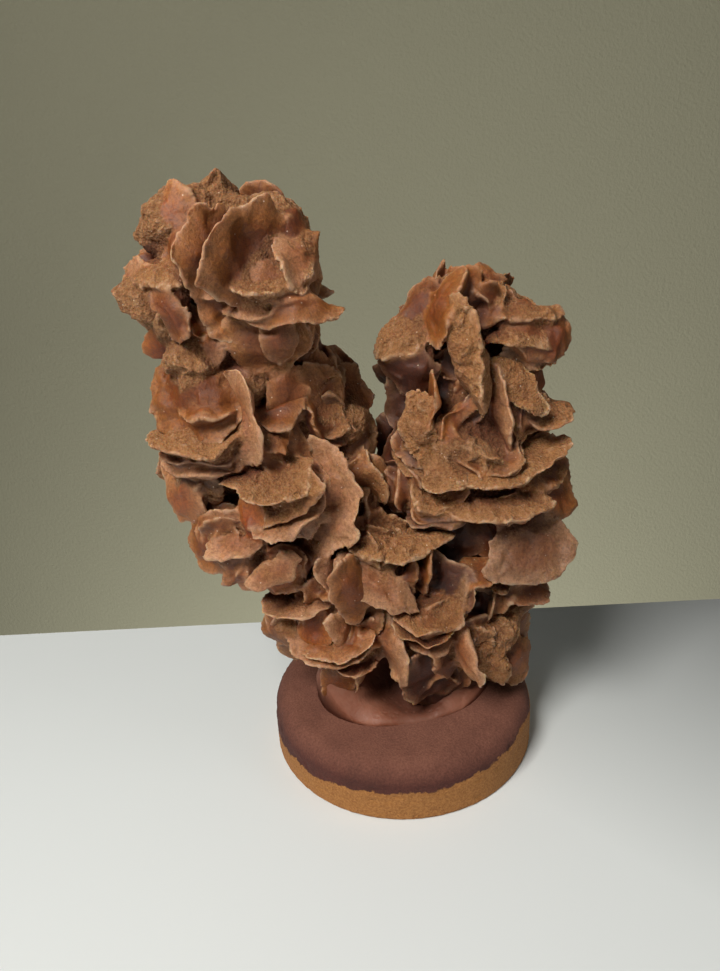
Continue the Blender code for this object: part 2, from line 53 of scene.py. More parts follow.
# %% [markdown]
# ## A few helpers
# Every piece below is a block of points worked out at once with numpy. Small helpers carry
# them: some fill a mesh, one turns a grid into faces, and one gives smooth random values in
# space, which all the roughness of the stone comes from.

# %% Helpers
LATTICE = 32


def mesh_from(name, points, faces):
    """A smooth-shaded mesh from points in metres and faces as rows of corner numbers."""
    mesh = bpy.data.meshes.new(name)
    mesh.from_pydata(points.tolist(), [], faces.tolist())
    mesh.polygons.foreach_set("use_smooth", np.ones(len(mesh.polygons), bool))
    return mesh


def link(name, mesh):
    """Puts a mesh in the scene as an object at the origin."""
    piece = bpy.data.objects.new(name, mesh)
    bpy.context.scene.collection.objects.link(piece)
    return piece


def ring_faces(rings, around):
    """Quads between neighbouring rings of points: ring i, place j to ring i+1, place j+1."""
    i, j = np.meshgrid(np.arange(rings - 1), np.arange(around), indexing="ij")
    here, beside = i * around + j, i * around + (j + 1) % around
    return np.stack([here, beside, beside + around, here + around], -1).reshape(-1, 4)


def soft_noise(points, wavelength, seed):
    """Smooth random values from -1 to 1: random corners of a cube lattice, blended between
    with the weight 3t^2 - 2t^3 along each axis. The lattice repeats after LATTICE cells."""
    lattice = np.random.default_rng(seed).uniform(-1, 1, (LATTICE, LATTICE, LATTICE))
    place = points / wavelength
    cell = np.floor(place).astype(int)
    t = place - cell
    t = t * t * (3 - 2 * t)
    total = np.zeros(len(points))
    for dx in (0, 1):
        for dy in (0, 1):
            for dz in (0, 1):
                corner = lattice[tuple(((cell + (dx, dy, dz)) % LATTICE).T)]
                wx, wy, wz = (t[:, k] if d else 1 - t[:, k] for k, d in enumerate((dx, dy, dz)))
                total += corner * wx * wy * wz
    return total


def smoothstep(low, high, value):
    """0 below low, 1 above high, and 3t^2 - 2t^3 between."""
    t = np.clip((value - low) / (high - low), 0, 1)
    return t * t * (3 - 2 * t)


def set_values(mesh, name, values):
    """Stores one number, or one colour, for each point of a mesh."""
    colour = values.ndim == 2
    layer = mesh.attributes.new(name, "FLOAT_COLOR" if colour else "FLOAT", "POINT")
    if colour:
        values = np.column_stack([values, np.ones(len(values))])
    layer.data.foreach_set("color" if colour else "value", values.astype(np.float32).ravel())


# %% [markdown]
# ## What each crystal is
# A crystal is given by its middle, the way its face looks, its half width and half height, and
# its thickness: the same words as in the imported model, so the fine crystals grow where the
# plain ones stand. A letter in front says how it looks: caramel and clear, dusty pink, sandy,
# and so on. Each list is one part of the rose, from the top of an arm down.

# %% The crystals
# look, middle x y z, face direction (0 front, 90 right), tilt up, half width, half height, lean
# to the left, thickness, dish of the rim, direction and reach of a drawn-out corner; mm, degrees
Crystal = namedtuple("Crystal", "look x y z face tilt wide tall lean thick dish tip reach",
                     defaults=(0.0, 4.0, 0.0, 0.0, 0.0))
Lump = namedtuple("Lump", "x y z rx ry rz")

TOP_LEFT_ROSETTE = [
    ("c", -34.2, -19, 157.5, 38, -4, 14.5, 12.5, 8, 6, 3),
    ("c", -40.4, -16, 153.5, 24, -2, 11.5, 16.5, 5, 7, 2),
    ("p", -52.2, -13, 165.8, -35, 10, 6.5, 10, 0, 6),
    ("c", -50.1, -17, 160.1, -25, 35, 6, 5, 0, 5),
    ("s", -55.5, -15, 154.3, -30, 73, 8, 7, 0, 7),
    ("k", -62.5, -12, 149.6, -50, 0, 6.5, 9, 0, 6),
    ("b", -53.3, -20, 145.1, -30, -5, 5, 7.5, 0, 4, 1),
    ("o", -56.8, -13, 137.4, -20, -25, 8, 6, 0, 5, 0, 200, 0.2),
    ("k", -44.8, -19, 151.1, -10, 63, 5.5, 3.5, -25, 3.5),
    ("s", -29.8, -20, 152.2, 12, 62, 11, 7, 12, 6, 2),
    ("k", -22.5, -18, 156.8, 58, 30, 6, 9, -50, 4, 0, 0, 0.3),
    ("p", -26.5, -22, 151.0, 20, 20, 9, 3.5, -30, 3.5),
    ("c", -28.1, -20, 146.0, 8, 54, 12, 7.5, -14, 6.5, 0, 0, 0.35),
    ("k", -34.5, -21, 146.5, -20, 62, 7, 5, 14, 4),
    ("p", -29.8, -20, 139.3, 5, -15, 4.2, 6.5, 8, 4, 0, 270, 0.2),
    ("t", -31.4, -14, 140.2, 8, -12, 12, 11, 0, 5),
    ("m", -45.2, -11, 138.7, -5, -10, 7, 8, 0, 5),
    ("k", -45.8, -16, 135.7, -10, 10, 4, 5, 0, 4),
    ("g", -22, -15, 152.1, 35, 5, 7, 9.5, 0, 6),
    ("t", -21, -15, 159, 20, 25, 4.5, 3.5, 0, 3.5, 0, 35, 0.6),
    ("b", -25.3, -13, 164.5, 25, 30, 6.5, 6, 0, 6),
]
LEFT_MIDDLE = [
    ("c", -50.7, -17, 123.9, -15, 30, 14.5, 13, 12, 9, -2),
    ("c", -48.5, -21, 120.9, -12, 80, 8.5, 6.5, 12, 5.5),
    ("s", -52.2, -19, 113.1, -22, 76, 13, 9, 10, 8),
    ("b", -51, -17, 108.4, -20, 73, 11.5, 7, 10, 5.5),
    ("k", -52.1, -18, 104.9, -22, 68, 10.5, 6.5, 10, 5.5),
    ("k", -38.6, -20, 117.5, -42, 5, 7.5, 12.5, 10, 5, 2),
    ("c", -31, -16, 118.1, 10, 58, 7, 6, -30, 4.5),
    ("p", -28.1, -14, 121.8, 25, 0, 5, 8.5, 0, 4),
    ("t", -22.9, -7, 120.4, 18, 5, 9.5, 13.5, 20, 6),
    ("g", -11.2, -5, 104.8, 10, 10, 7, 9, 10, 6),
    ("t", -10.3, -5, 93.2, 20, 0, 8, 10, 0, 6),
    ("c", -33.1, -19, 111.5, 5, 63, 5.5, 5, -30, 4),
    ("c", -30.7, -20, 104.9, 25, 25, 5, 5.5, 0, 3, 1.5),
    ("k", -21.3, -16, 91.1, -22, 6, 13, 18, -8, 6, 3),
    ("s", -33.4, -23, 99.7, -8, 66, 11.5, 8, 5, 7, 2.5, 180, 0.15),
    ("t", -28.1, -26, 96.1, -35, 35, 11.5, 4.5, 45, 3.5),
    ("k", -30.4, -23, 88.5, -8, 58, 10.5, 7, 25, 5.5, 2),
    ("o", -40.4, -21, 88.6, -40, 0, 4.5, 7.5, 0, 4),
    ("c", -51.8, -15, 80.3, -35, 5, 8.5, 10, 0, 6, 1.5),
    ("p", -58.9, -12, 93, -35, -5, 7.5, 8, 0, 5),
    ("g", -54.4, -14, 97.3, -15, -10, 7.5, 6.5, 0, 5),
    ("k", -45.7, -22, 81.6, -10, 68, 8, 5.5, 30, 4.5),
    ("m", -48.7, -13, 85.5, -25, 0, 6, 7, 0, 5),
    ("k", -34.8, -25, 75, 0, 30, 8.5, 3.5, 23, 3),
]
FOOT_LEFT = [
    ("s", -2.2, -17, 78.8, 3, 76, 13.5, 9, 0, 6, 0, 0, 0.2),
    ("k", -8.0, -23, 69.0, 8, 30, 12.2, 6, -36, 5, 0, 0, 0.4),
    ("c", -15.2, -26, 68.7, 35, -5, 6, 10, 12, 4.5, 0, 270, 0.2),
    ("k", -19.8, -21, 69.4, 60, 0, 3.5, 8.5, 18, 3.5),
    ("k", -30.5, -17, 59.5, -12, 68, 10.5, 8, 0, 6, 2.5),
    ("t", -36.0, -13, 49.6, -35, 0, 6.5, 7, 0, 5),
    ("o", -25.3, -19, 52.6, -20, 5, 6, 7.5, 0, 4, 1),
    ("k", -18.5, -22, 53.9, 58, 0, 4.5, 7, 5, 3),
    ("p", -20.3, -18, 44.3, -8, 72, 13, 8.5, 12, 6, 2.5),
    ("g", -31.1, -12, 42.9, -20, 10, 8, 7, 0, 5),
    ("c", -19.8, -14, 30.5, -12, -8, 5, 8, -25, 4, 0, 270, 0.2),
    ("b", -13.7, -13, 38.5, 15, -20, 7, 6, 0, 4),
    ("k", -12.0, -17, 38.3, 60, -10, 4, 7, -28, 3.5, 0, 270, 0.25),
    ("k", -2.9, -19, 46.7, -65, 0, 7, 12, 30, 4.5),
    ("t", -8.8, -17, 55.5, -40, 10, 5, 7.5, 0, 4),
]
FOOT_RIGHT = [
    ("m", 6.7, -18, 33.9, 28, -8, 8.5, 12, 30, 5, 1.5),
    ("m", 10.4, -13, 23.5, 15, 5, 9, 6.5, 0, 4),
    ("t", 7.7, -22, 56.0, 12, 70, 11, 7.5, 12, 6, 2.5),
    ("m", 13.2, -15, 63.2, -24, 6, 10, 10.5, 0, 5, 2.5),
    ("g", 16.1, -17, 61.5, -55, 10, 5, 8, 0, 3),
    ("c", 7.1, -19, 70.8, -60, 5, 4, 8, -25, 3),
    ("c", 3.0, -20, 69.6, -55, 0, 3.5, 5.5, -15, 3),
    ("t", 34.3, -6, 41.1, 30, 0, 8.5, 9, 0, 7),
    ("t", 34.6, -9, 32.0, 30, 5, 7, 9, 0, 6),
    ("s", 24.1, -17, 38.7, 22, 10, 7, 10.5, 33, 5, 0, 270, 0.2),
    ("k", 18.1, -22, 44.7, -55, 0, 4.5, 11, 33, 4),
    ("b", 11.8, -21, 40.2, 50, 0, 4.5, 7.5, 35, 3.5),
    ("b", 7.8, -20, 47.8, 0, 68, 7, 5.5, -15, 4),
    ("c", 23.8, -16, 66.8, 0, 70, 7.5, 6, 0, 5),
    ("b", 38.4, -9, 57.1, 15, 68, 7.5, 7, 0, 5),
    ("m", 20.9, -11, 50.6, 5, 0, 8, 9, 0, 5),
]
RIGHT_TOP = [
    ("c", 13.4, -11, 141.6, -70, 22, 7, 11, -6, 5.5),
    ("b", 9.9, -3, 139.3, -20, 20, 8, 8, 0, 6),
    ("s", 3.4, -4, 132.7, -25, 60, 9, 6.5, 20, 7),
    ("m", 3.9, -6, 125, -25, -15, 8, 7.5, 0, 6),
    ("c", 24.2, -5, 145.4, 15, 30, 5.5, 5.5, 0, 6),
    ("c", 19, -8, 146.8, -30, 20, 4, 5, 0, 5),
    ("b", 28.5, -4, 140, 30, 35, 7, 6, 0, 5),
    ("s", 19.5, -15, 130.2, -76, -14, 8.0, 15.5, 0, 9, 0, 270, 0.15),
    ("k", 27.7, -11, 114.8, -78, -7, 8, 10.5, 0, 4.5, 0, 270, 0.15),
    ("t", 34.5, -7, 138.4, 10, 84, 11, 6.5, -4, 6),
    ("s", 32, -11, 133, 8, 78, 8.5, 5, 0, 4.5),
    ("b", 39.5, -9, 132.4, 20, 14, 9.5, 7, -8, 8),
    ("g", 35.4, -8, 127, 18, -20, 8, 7, 0, 6),
    ("b", 37.9, -6, 120.3, 30, 0, 4.5, 5.5, 0, 4.5),
    ("s", 32.8, -13, 120.3, 15, 30, 10, 4.5, -48, 3.5),
    ("t", 41.3, -7, 110.5, 10, 78, 6.5, 6.5, 0, 4.5, 0, 10, 0.25),
    ("m", 12.1, -2, 116, -22, 8, 14.5, 13, 0, 4.5, 3),
    ("c", 9.5, -13, 118, -88, 0, 5, 8.5, -6, 1.8),
    ("s", 6.4, -14, 110.7, -12, 10, 5, 10.5, 12, 6),
    ("s", 12.8, -14, 109, 20, 10, 2.5, 5, -12, 3),
    ("c", 15.5, -13, 110, 55, 0, 4, 7, -38, 2.6),
    ("p", 18.2, -12, 113.3, -30, 20, 3, 6.5, -42, 3),
]
RIGHT_MIDDLE = [
    ("s", 11.5, -13, 99, -25, 58, 9.5, 5.5, -38, 6),
    ("s", 29.1, -13, 96.6, 4, 66, 16, 8.5, 13, 7, 3, 8, 0.25),
    ("s", 24.9, -13, 87.3, -2, 66, 17.5, 10, 0, 7, 3, 178, 0.1),
    ("c", 45, -8, 86.3, 30, 25, 8, 6.5, -35, 4.5),
    ("t", 37, -14, 93, 10, 30, 4.5, 3, -20, 2.5),
    ("b", 46.5, -4, 91.9, 25, 0, 5, 7, 0, 5),
    ("m", 10.9, -14, 84.5, -5, 73, 8, 5.5, 0, 4),
    ("d", 36.5, -16, 73.1, 8, 28, 13.5, 10, 8, 6, 1, 185, 0.15),
    ("b", 26.9, -10, 75, -10, 5, 7, 6.5, 0, 6),
    ("m", 3.2, -5, 100.2, -45, 0, 8, 10, 0, 6),
    ("m", 4.8, -5, 87.6, -45, -5, 8, 9, 0, 6),
    ("m", 14.9, -8, 73.4, -20, 0, 8, 8, 0, 6),
]
HAND_PLACED = [Crystal(*row) for row in TOP_LEFT_ROSETTE + LEFT_MIDDLE + FOOT_LEFT
               + FOOT_RIGHT + RIGHT_TOP + RIGHT_MIDDLE]
print("crystals placed by hand:", len(HAND_PLACED))

# sandy lumps between the crystals, and the sand-filled heart of each branch: middle, half sizes
CRUST_LUMPS = [
    (-55, -8, 166, 8, 8, 7.5), (-44, -7, 167, 9, 9, 8.5), (-29, -6, 161, 9, 9, 9),
    (-61, -15, 149, 6, 6, 6.5), (-57.5, -14, 143, 5, 5, 5), (-51.7, -17, 132, 6, 6, 5),
    (-36.7, -13, 124.6, 5, 5, 5), (-12.5, -5, 111, 5.5, 6, 6), (18, -11, 103, 9, 8, 5),
    (31, -10, 43, 6, 6, 7), (-31, -10, 167, 7.5, 5, 4.5), (-38, -12, 165.5, 5.5, 4, 5),
]
HEARTS = [
    (-41, -6, 153, 15, 15, 17), (-43, -5, 133, 12, 13, 13), (-46, -5, 116, 15, 15, 14),
    (-27, -4, 112, 15, 14, 15), (-31, -6, 94, 18, 17, 15), (-46, -6, 84, 11, 12, 12),
    (-17, -5, 79, 16, 16, 14), (-3, -5, 66, 18, 16, 14), (-23, -6, 58, 16, 15, 13),
    (9, -3, 52, 18, 16, 14), (24, 1, 36, 15, 16, 17), (8, 3, 34, 17, 15, 14),
    (24, 0, 63, 17, 15, 14), (27, 0, 79, 17, 15, 14), (27, 0, 94, 18, 15, 13),
    (22, 2, 109, 17, 14, 14), (22, 2, 124, 16, 13, 14), (22, 0, 138, 15, 12, 11),
    (-47, -6, 100, 12, 13, 12), (-37, -8, 72, 11, 13, 12), (-9, -5, 47, 12, 14, 10),
]
# the hearts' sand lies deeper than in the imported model, so that the valleys are deep
HEART_BACK = 2.5
HEART_SHARE = (0.88, 0.78, 0.88)
CRUST_LUMPS = [Lump(*row) for row in CRUST_LUMPS]
HEARTS = [Lump(x, y + HEART_BACK, z, *(k * r for k, r in zip(HEART_SHARE, sizes)))
          for x, y, z, *sizes in HEARTS]
LUMPS = CRUST_LUMPS + HEARTS

# %% [markdown]
# ## One gypsum blade
# A blade is a lens that thins to a sharp rim. Its outline is a mixture of nine corners with
# straight edges and of a scalloped round, nicked like a broken biscuit. Each blade could be its
# own mesh, but crystals that grow together share one body of stone, with sand bedded in every
# valley. So a blade is a distance instead: how far any point is from its surface.

# %% A blade as a distance
SEED = 411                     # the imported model's seed, so the rims wander alike
RIM_POINTS = 9
RIM_WAVE = 0.06
RIM_SPREAD = 1.07
EDGE_SHARE = 0.4               # how much of a rim is straight edges; the rest is scallops
CORNER_DRAWN = 1.25            # how far a corner of reach 1 is drawn out, in radii
CORNER_WIDTH = 0.42            # radians over which a drawn-out corner falls off
SCALLOP_LENGTH = 6             # mm
NICK_SMALL, NICK_BITE = 0.12, 0.2           # depth of every wave and of the peaks, mm
NICK_FROM = 1.2                # how high the waves' sum must be for a peak
BLUNT = 0.34                   # half thickness of a rim, mm
THIN_BLUNT = 0.22              # the same for a thin blade, as a share of its thickness
BEND = ((1, 0.06), (2, 0.10), (3, 0.06))    # waves in a turn; size as a share of half height
ANY_PHASE = 6.28               # where a random wave may begin, radians


def seeded_wave(rng, waves, around, size=1.0):
    """A wave of a random height, 0.3 to 1 times size, that begins anywhere."""
    return rng.uniform(0.3, 1.0) * size * np.sin(waves * around + rng.uniform(0, ANY_PHASE))


def rim_radius(around, seed, tip, reach):
    """Rim of a crystal: 1, three seeded waves, and a corner drawn out towards tip."""
    rng = np.random.default_rng(seed)
    radius = np.ones_like(around)
    for waves in (2, 3, 5):
        radius += seeded_wave(rng, waves, around, RIM_WAVE)
    away = np.angle(np.exp(1j * (around - math.radians(tip))))
    return radius + CORNER_DRAWN * reach * np.exp(-np.abs(away) / CORNER_WIDTH)


def cornered_rim(around, blade):
    """Straight edges between nine corners, mixed with the round, scalloped rim. Between corners
    at radius p and q the edge lies at p q sin(step) / (p sin(way past p) + q sin(way left))."""
    step = 2 * math.pi / RIM_POINTS
    first = (blade.seed % 7) / 7 * step
    past = np.mod(around - first, step)
    corner = around - past
    p = rim_radius(corner, blade.seed, blade.tip, blade.reach) * RIM_SPREAD
    q = rim_radius(corner + step, blade.seed, blade.tip, blade.reach) * RIM_SPREAD
    edge = p * q * math.sin(step) / (p * np.sin(past) + q * np.sin(step - past))
    round_rim = rim_radius(around, blade.seed, blade.tip, blade.reach)
    return EDGE_SHARE * edge + (1 - EDGE_SHARE) * round_rim * scallops(around, blade)


def scallops(around, blade):
    """Bumps along a rim, as the size of a sine makes them; their length wanders, because a
    slow wave is added to the angle."""
    rng = np.random.default_rng(blade.seed + 5)
    bumps = max(3, round(0.5 * (blade.wide + blade.tall) * math.pi / SCALLOP_LENGTH))
    drift = 0.9 * np.sin(around + rng.uniform(0, ANY_PHASE)) + 0.5 * np.sin(
        2 * around + rng.uniform(0, ANY_PHASE))
    return 0.95 + 0.11 * np.abs(np.sin(0.5 * bumps * around + drift))


def nicks(around, blade):
    """Broken edge, as a loss of radius: eight seeded waves of 9 to 45 turns. Only their peaks
    bite, up to 0.6 mm."""
    rng = np.random.default_rng(blade.seed + 7)
    total = np.zeros_like(around)
    for waves in rng.integers(9, 46, 8):
        total += seeded_wave(rng, waves, around)
    bite = NICK_SMALL * np.clip(total, -1, 1) + NICK_BITE * np.clip(total - NICK_FROM, 0, 2.5)
    return bite / blade.wide


def face_axes(face, tilt, lean):
    """Side, height and face directions of a crystal from its three angles in degrees."""
    a, e, r = (math.radians(v) for v in (face, tilt, lean))
    normal = np.array([math.sin(a) * math.cos(e), -math.cos(a) * math.cos(e), math.sin(e)])
    side = np.array([math.cos(a), math.sin(a), 0])
    height = np.cross(normal, side)
    return np.array([side * math.cos(r) + height * math.sin(r),
                     height * math.cos(r) - side * math.sin(r), normal])


def half_thickness(share, blade):
    """Half thickness at a share of the radius: a blunt rim, plus a lens that thins with
    1 - share^1.5."""
    blunt = min(BLUNT, THIN_BLUNT * blade.thick)
    return blunt + (blade.thick / 2 - blunt) * (1 - share * np.sqrt(share))


def middle_plane(share, around, blade):
    """How far a blade's middle plane stands forward: the dish, share^2 high, and three seeded
    waves, so that no blade is quite flat."""
    rng = np.random.default_rng(blade.seed + 3)
    bend = blade.dish * share ** 2
    for waves, size in BEND:
        bend = bend + rng.uniform(0.3, 1) * size * blade.tall * share ** 2 * np.sin(
            waves * around + rng.uniform(0, ANY_PHASE))
    return bend


def blade_distance(points, blade):
    """Distance in mm to a blade's surface, about: the share of the radius reached and the
    height over the bent middle plane, whichever sticks out more. Also gives that share."""
    across, along, over = blade.axes @ (points - blade.middle).T
    angle = np.arctan2(along / blade.tall, across / blade.wide)
    share = np.hypot(across / blade.wide, along / blade.tall) / cornered_rim(angle, blade)
    share = share + nicks(angle, blade) * smoothstep(0.75, 1.0, share)
    inner = np.minimum(share, 1)
    beyond = (share - 1) * min(blade.wide, blade.tall) * 0.9
    rise = np.abs(over - middle_plane(inner, angle, blade))
    return np.maximum(beyond, rise - half_thickness(inner, blade)), inner


# %% [markdown]
# ## Who grows where
# The listed crystals are the front. The back is grown from the larger ones, turned over
# and shifted, and short blades stand out of the sides, as in the imported model. The rest is
# finer than that model: rosettes of petals in the gaps, scales all over the hearts, and thin
# leaves that lie against many of the big crystals like pages. Each blade belongs to the node in
# which its middle lies.

# %% Blades of the front, the back and the sides
Blade = namedtuple("Blade", "look middle axes wide tall thick dish tip reach seed")
BACK_MIRROR_Y = (-4.5, 1.0)    # mirror plane of the left branch and of the right branch
BACK_SPLIT_X = 3.0
BACK_DEPTH = 0.72              # distance behind that plane, as a share of that in front
BACK_SMALLEST = 72.0           # half width times half height of the smallest one taken
BACK_SHIFT, BACK_TURN = 3, 24  # at most, mm and degrees
# heart, from where to where round it in degrees, number of blades
SIDE_ROSETTES = [
    (0, 120, 215, 3), (0, 0, 60, 2), (1, 140, 200, 2), (1, 20, 60, 1), (2, 130, 200, 3),
    (3, 10, 70, 2), (4, 20, 60, 1), (5, 120, 200, 2), (8, 120, 190, 2), (10, -20, 50, 2),
    (12, -10, 50, 2), (13, -10, 50, 2), (14, 0, 60, 2), (15, 130, 200, 2), (15, 0, 50, 1),
    (16, 130, 210, 2), (17, 120, 180, 2), (17, 20, 70, 1),
]
FAN_HUB, FAN_RADIUS = (-42.0, -20.0, 80.0), 6
FAN_ANGLES = (186, 211, 234, 253, 272)      # a fan of narrow blades below the left arm
LEAFY_LOOKS, LEAFY_FROM, TWO_LEAVES_FROM = "tgbp", 80, 110      # sizes as for BACK_SMALLEST
GOLDEN_ANGLE = 2.4             # radians
PETAL_SHUT, PETAL_OPENS = 16, 50            # lean of the inmost petal, and how much more, degrees
SCALES_PER_MM2 = 0.07
LEAF_SEEDS, PETAL_SEEDS, SCALE_SEEDS = 5000, 9000, 20000


def blade_from(row, seed):
    """A listed crystal with its three axes worked out."""
    return Blade(row.look, np.array([row.x, row.y, row.z]),
                 face_axes(row.face, row.tilt, row.lean), row.wide, row.tall, row.thick,
                 row.dish, row.tip, row.reach, seed)


def front_rows():
    """The listed crystals in order, then the fan."""
    rows = list(HAND_PLACED)
    for i, angle in enumerate(FAN_ANGLES):
        a = math.radians(angle)
        rows.append(Crystal("p", FAN_HUB[0] + FAN_RADIUS * math.cos(a), FAN_HUB[1],
                            FAN_HUB[2] + FAN_RADIUS * math.sin(a), -40 if i % 2 else 5, 0, 2.8,
                            6.5, angle - 90, 3.2))
    return rows


def behind(row):
    """Depth of a row turned over about the middle plane of its branch, and drawn in."""
    mirror_y = BACK_MIRROR_Y[row.x > BACK_SPLIT_X]
    return mirror_y + BACK_DEPTH * (mirror_y - row.y)


def back_rows(front):
    """The larger front crystals turned over about a plane, shifted and tilted at random."""
    rng = np.random.default_rng(SEED)
    rows = []
    for row in front:
        if row.wide * row.tall < BACK_SMALLEST:
            continue
        shift = rng.uniform(-BACK_SHIFT, BACK_SHIFT, 3)
        turn = rng.uniform(-BACK_TURN, BACK_TURN, 3)
        rows.append(row._replace(
            x=row.x + shift[0], y=behind(row) + 0.5 * shift[1], z=row.z + shift[2],
            face=180 - row.face + turn[0], tilt=row.tilt + turn[1], lean=turn[2] - row.lean,
            wide=row.wide * rng.uniform(0.85, 1.1), tip=180 - row.tip))
    return rows


def side_blades():
    """Blades that stand out of the hearts' sides, each turned about its own outward line."""
    rng = np.random.default_rng(SEED + 1)
    blades = []
    for heart_index, start, end, count in SIDE_ROSETTES:
        heart = HEARTS[heart_index]
        for i in range(count):
            around = math.radians(start + (end - start) * (i + rng.uniform(0.2, 0.8)) / count)
            out = Vector((math.cos(around), math.sin(around), rng.uniform(-0.5, 0.6)))
            out.normalize()
            flat = out.cross(Vector((0, 0, 1))).normalized()
            normal = Matrix.Rotation(rng.uniform(0, math.pi), 3, out) @ flat
            normal = (normal + out * rng.uniform(-0.1, 0.7)).normalized()
            height = (out - normal * out.dot(normal)).normalized()
            root = np.array(heart[:3]) + np.array(out) * heart[3:] * 0.75
            grown = rng.uniform(0.8, 1.1)
            blades.append(Blade("cktsbp"[len(blades) % 6], root,
                                np.array([height.cross(normal), height, normal]), 9.5 * grown,
                                11 * grown, rng.uniform(3.5, 5.0), 0, 0, 0,
                                2 * SEED + len(blades)))
    return blades


def leaves(blade):
    """Thin leaves against a big blade: smaller, a few degrees off, a little to one side."""
    rng = np.random.default_rng(blade.seed + 11)
    made = []
    for k in range(1 + int(blade.wide * blade.tall > TWO_LEAVES_FROM)):
        spin, nod = rng.uniform(-0.5, 0.5), rng.uniform(-0.22, 0.22)
        turn = np.array(Matrix.Rotation(spin, 3, Vector(blade.axes[2]))
                        @ Matrix.Rotation(nod, 3, Vector(blade.axes[k % 2])))
        size = rng.uniform(0.7, 0.92)
        slide = rng.uniform(-0.3, 0.3, 2) * (blade.wide, blade.tall)
        step = (-1) ** k * (blade.thick / 2 + rng.uniform(0.3, 1.2))
        made.append(blade._replace(
            middle=blade.middle + np.array([*slide, -step]) @ blade.axes,
            axes=blade.axes @ turn.T, wide=blade.wide * size, tall=blade.tall * size,
            thick=rng.uniform(1.8, 2.6), seed=blade.seed + LEAF_SEEDS + k))
    return made


# middle x y z, way it opens (0 front, 90 right) and tilt up, size, number of petals, looks
Rosette = namedtuple("Rosette", "x y z face tilt size petals looks")
ROSETTES = [
    (-56, -13, 150, -50, 5, 9, 8, "kpok"),
    (-27, -10, 139, 35, -10, 9, 8, "bgtc"), (-50, -12, 138, -45, -10, 8, 7, "oboc"),
    (-45, -16, 113, -20, 35, 10, 8, "cskb"), (-31, -16, 107, 10, 20, 9, 8, "ctcs"),
    (-28, -19, 96, 0, 20, 10, 9, "kcpk"), (-46, -16, 82, -20, -10, 10, 9, "cpck"),
    (-20, -8, 113, 45, 10, 9, 7, "tgc"), (-14, -9, 93, 45, 10, 9, 7, "gtbc"),
    (-57, -10, 101, -45, 0, 9, 7, "kpg"), (-34, -19, 73, -5, -10, 8, 8, "kopc"),
    (-6, -16, 78, 10, 25, 9, 8, "scts"), (-20, -18, 64, -10, -5, 9, 8, "ckpc"),
    (-31, -13, 53, -30, 0, 9, 8, "pkob"), (-8, -17, 50, 0, 0, 9, 8, "ocbp"),
    (9, -16, 56, 5, 15, 9, 8, "tgcs"), (19, -15, 42, 15, 0, 10, 9, "mbst"),
    (32, -8, 50, 45, 0, 9, 7, "gtb"), (11, -14, 30, 10, -25, 9, 8, "mbpm"),
    (24, -7, 143, 5, 40, 7, 7, "cbsc"), (7, -3, 131, -40, 35, 7, 7, "bscm"),
    (37, -7, 130, 30, 15, 8, 8, "tbsg"), (25, -6, 115, 10, 5, 9, 7, "cmcb"),
    (36, -7, 112, 40, 10, 8, 8, "tsbt"), (9, -10, 105, -25, 20, 9, 8, "smsc"),
    (26, -13, 101, 5, 50, 9, 9, "scst"), (41, -6, 94, 35, 35, 9, 8, "scbs"),
    (12, -12, 89, -15, 45, 9, 8, "scsm"), (30, -12, 87, 5, 50, 9, 8, "sctc"),
    (30, -11, 64, 10, 0, 9, 8, "bgkc"), (2, -6, 92, -60, 0, 8, 7, "mmb"),
]
ROSETTES = [Rosette(*row) for row in ROSETTES]


def petals(rosette, number):
    """Blades nested about a middle like the petals of a rose. Each next one stands farther out
    and leans farther open, and turns on by the golden angle."""
    rng = np.random.default_rng(SEED + 300 + number)
    across, along, pole = face_axes(rosette.face, rosette.tilt, rng.uniform(0, 360))
    made = []
    for k in range(rosette.petals):
        far = math.sqrt((k + 0.4) / rosette.petals)
        around = GOLDEN_ANGLE * k + rng.uniform(-0.4, 0.4)
        out = across * math.cos(around) + along * math.sin(around)
        opened = math.radians(PETAL_SHUT + PETAL_OPENS * far) + rng.uniform(-0.35, 0.35)
        height = pole * math.cos(opened) + out * math.sin(opened)
        normal = pole * math.sin(opened) - out * math.cos(opened)
        tall = rosette.size * rng.uniform(0.5, 0.62)
        wide = rosette.size * (0.42 + 0.28 * far) * rng.uniform(0.85, 1.15)
        root = (np.array(rosette[:3]) + out * 0.5 * rosette.size * far
                - pole * 0.3 * rosette.size * far ** 2)
        made.append(Blade(rosette.looks[k % len(rosette.looks)], root + 0.35 * tall * height,
                          np.array([np.cross(height, normal), height, normal]), wide, tall,
                          rng.uniform(2.2, 3.8), 0.1 * tall, rng.uniform(-40, 40), 0.22,
                          PETAL_SEEDS + 40 * number + k))
    return made


def back_rosettes():
    """The rosettes turned over onto the back."""
    rng = np.random.default_rng(SEED + 5)
    rows = []
    for row in ROSETTES:
        rows.append(row._replace(
            x=row.x + rng.uniform(-3, 3), y=behind(row), z=row.z + rng.uniform(-4, 4),
            face=180 - row.face + rng.uniform(-20, 20)))
    return rows


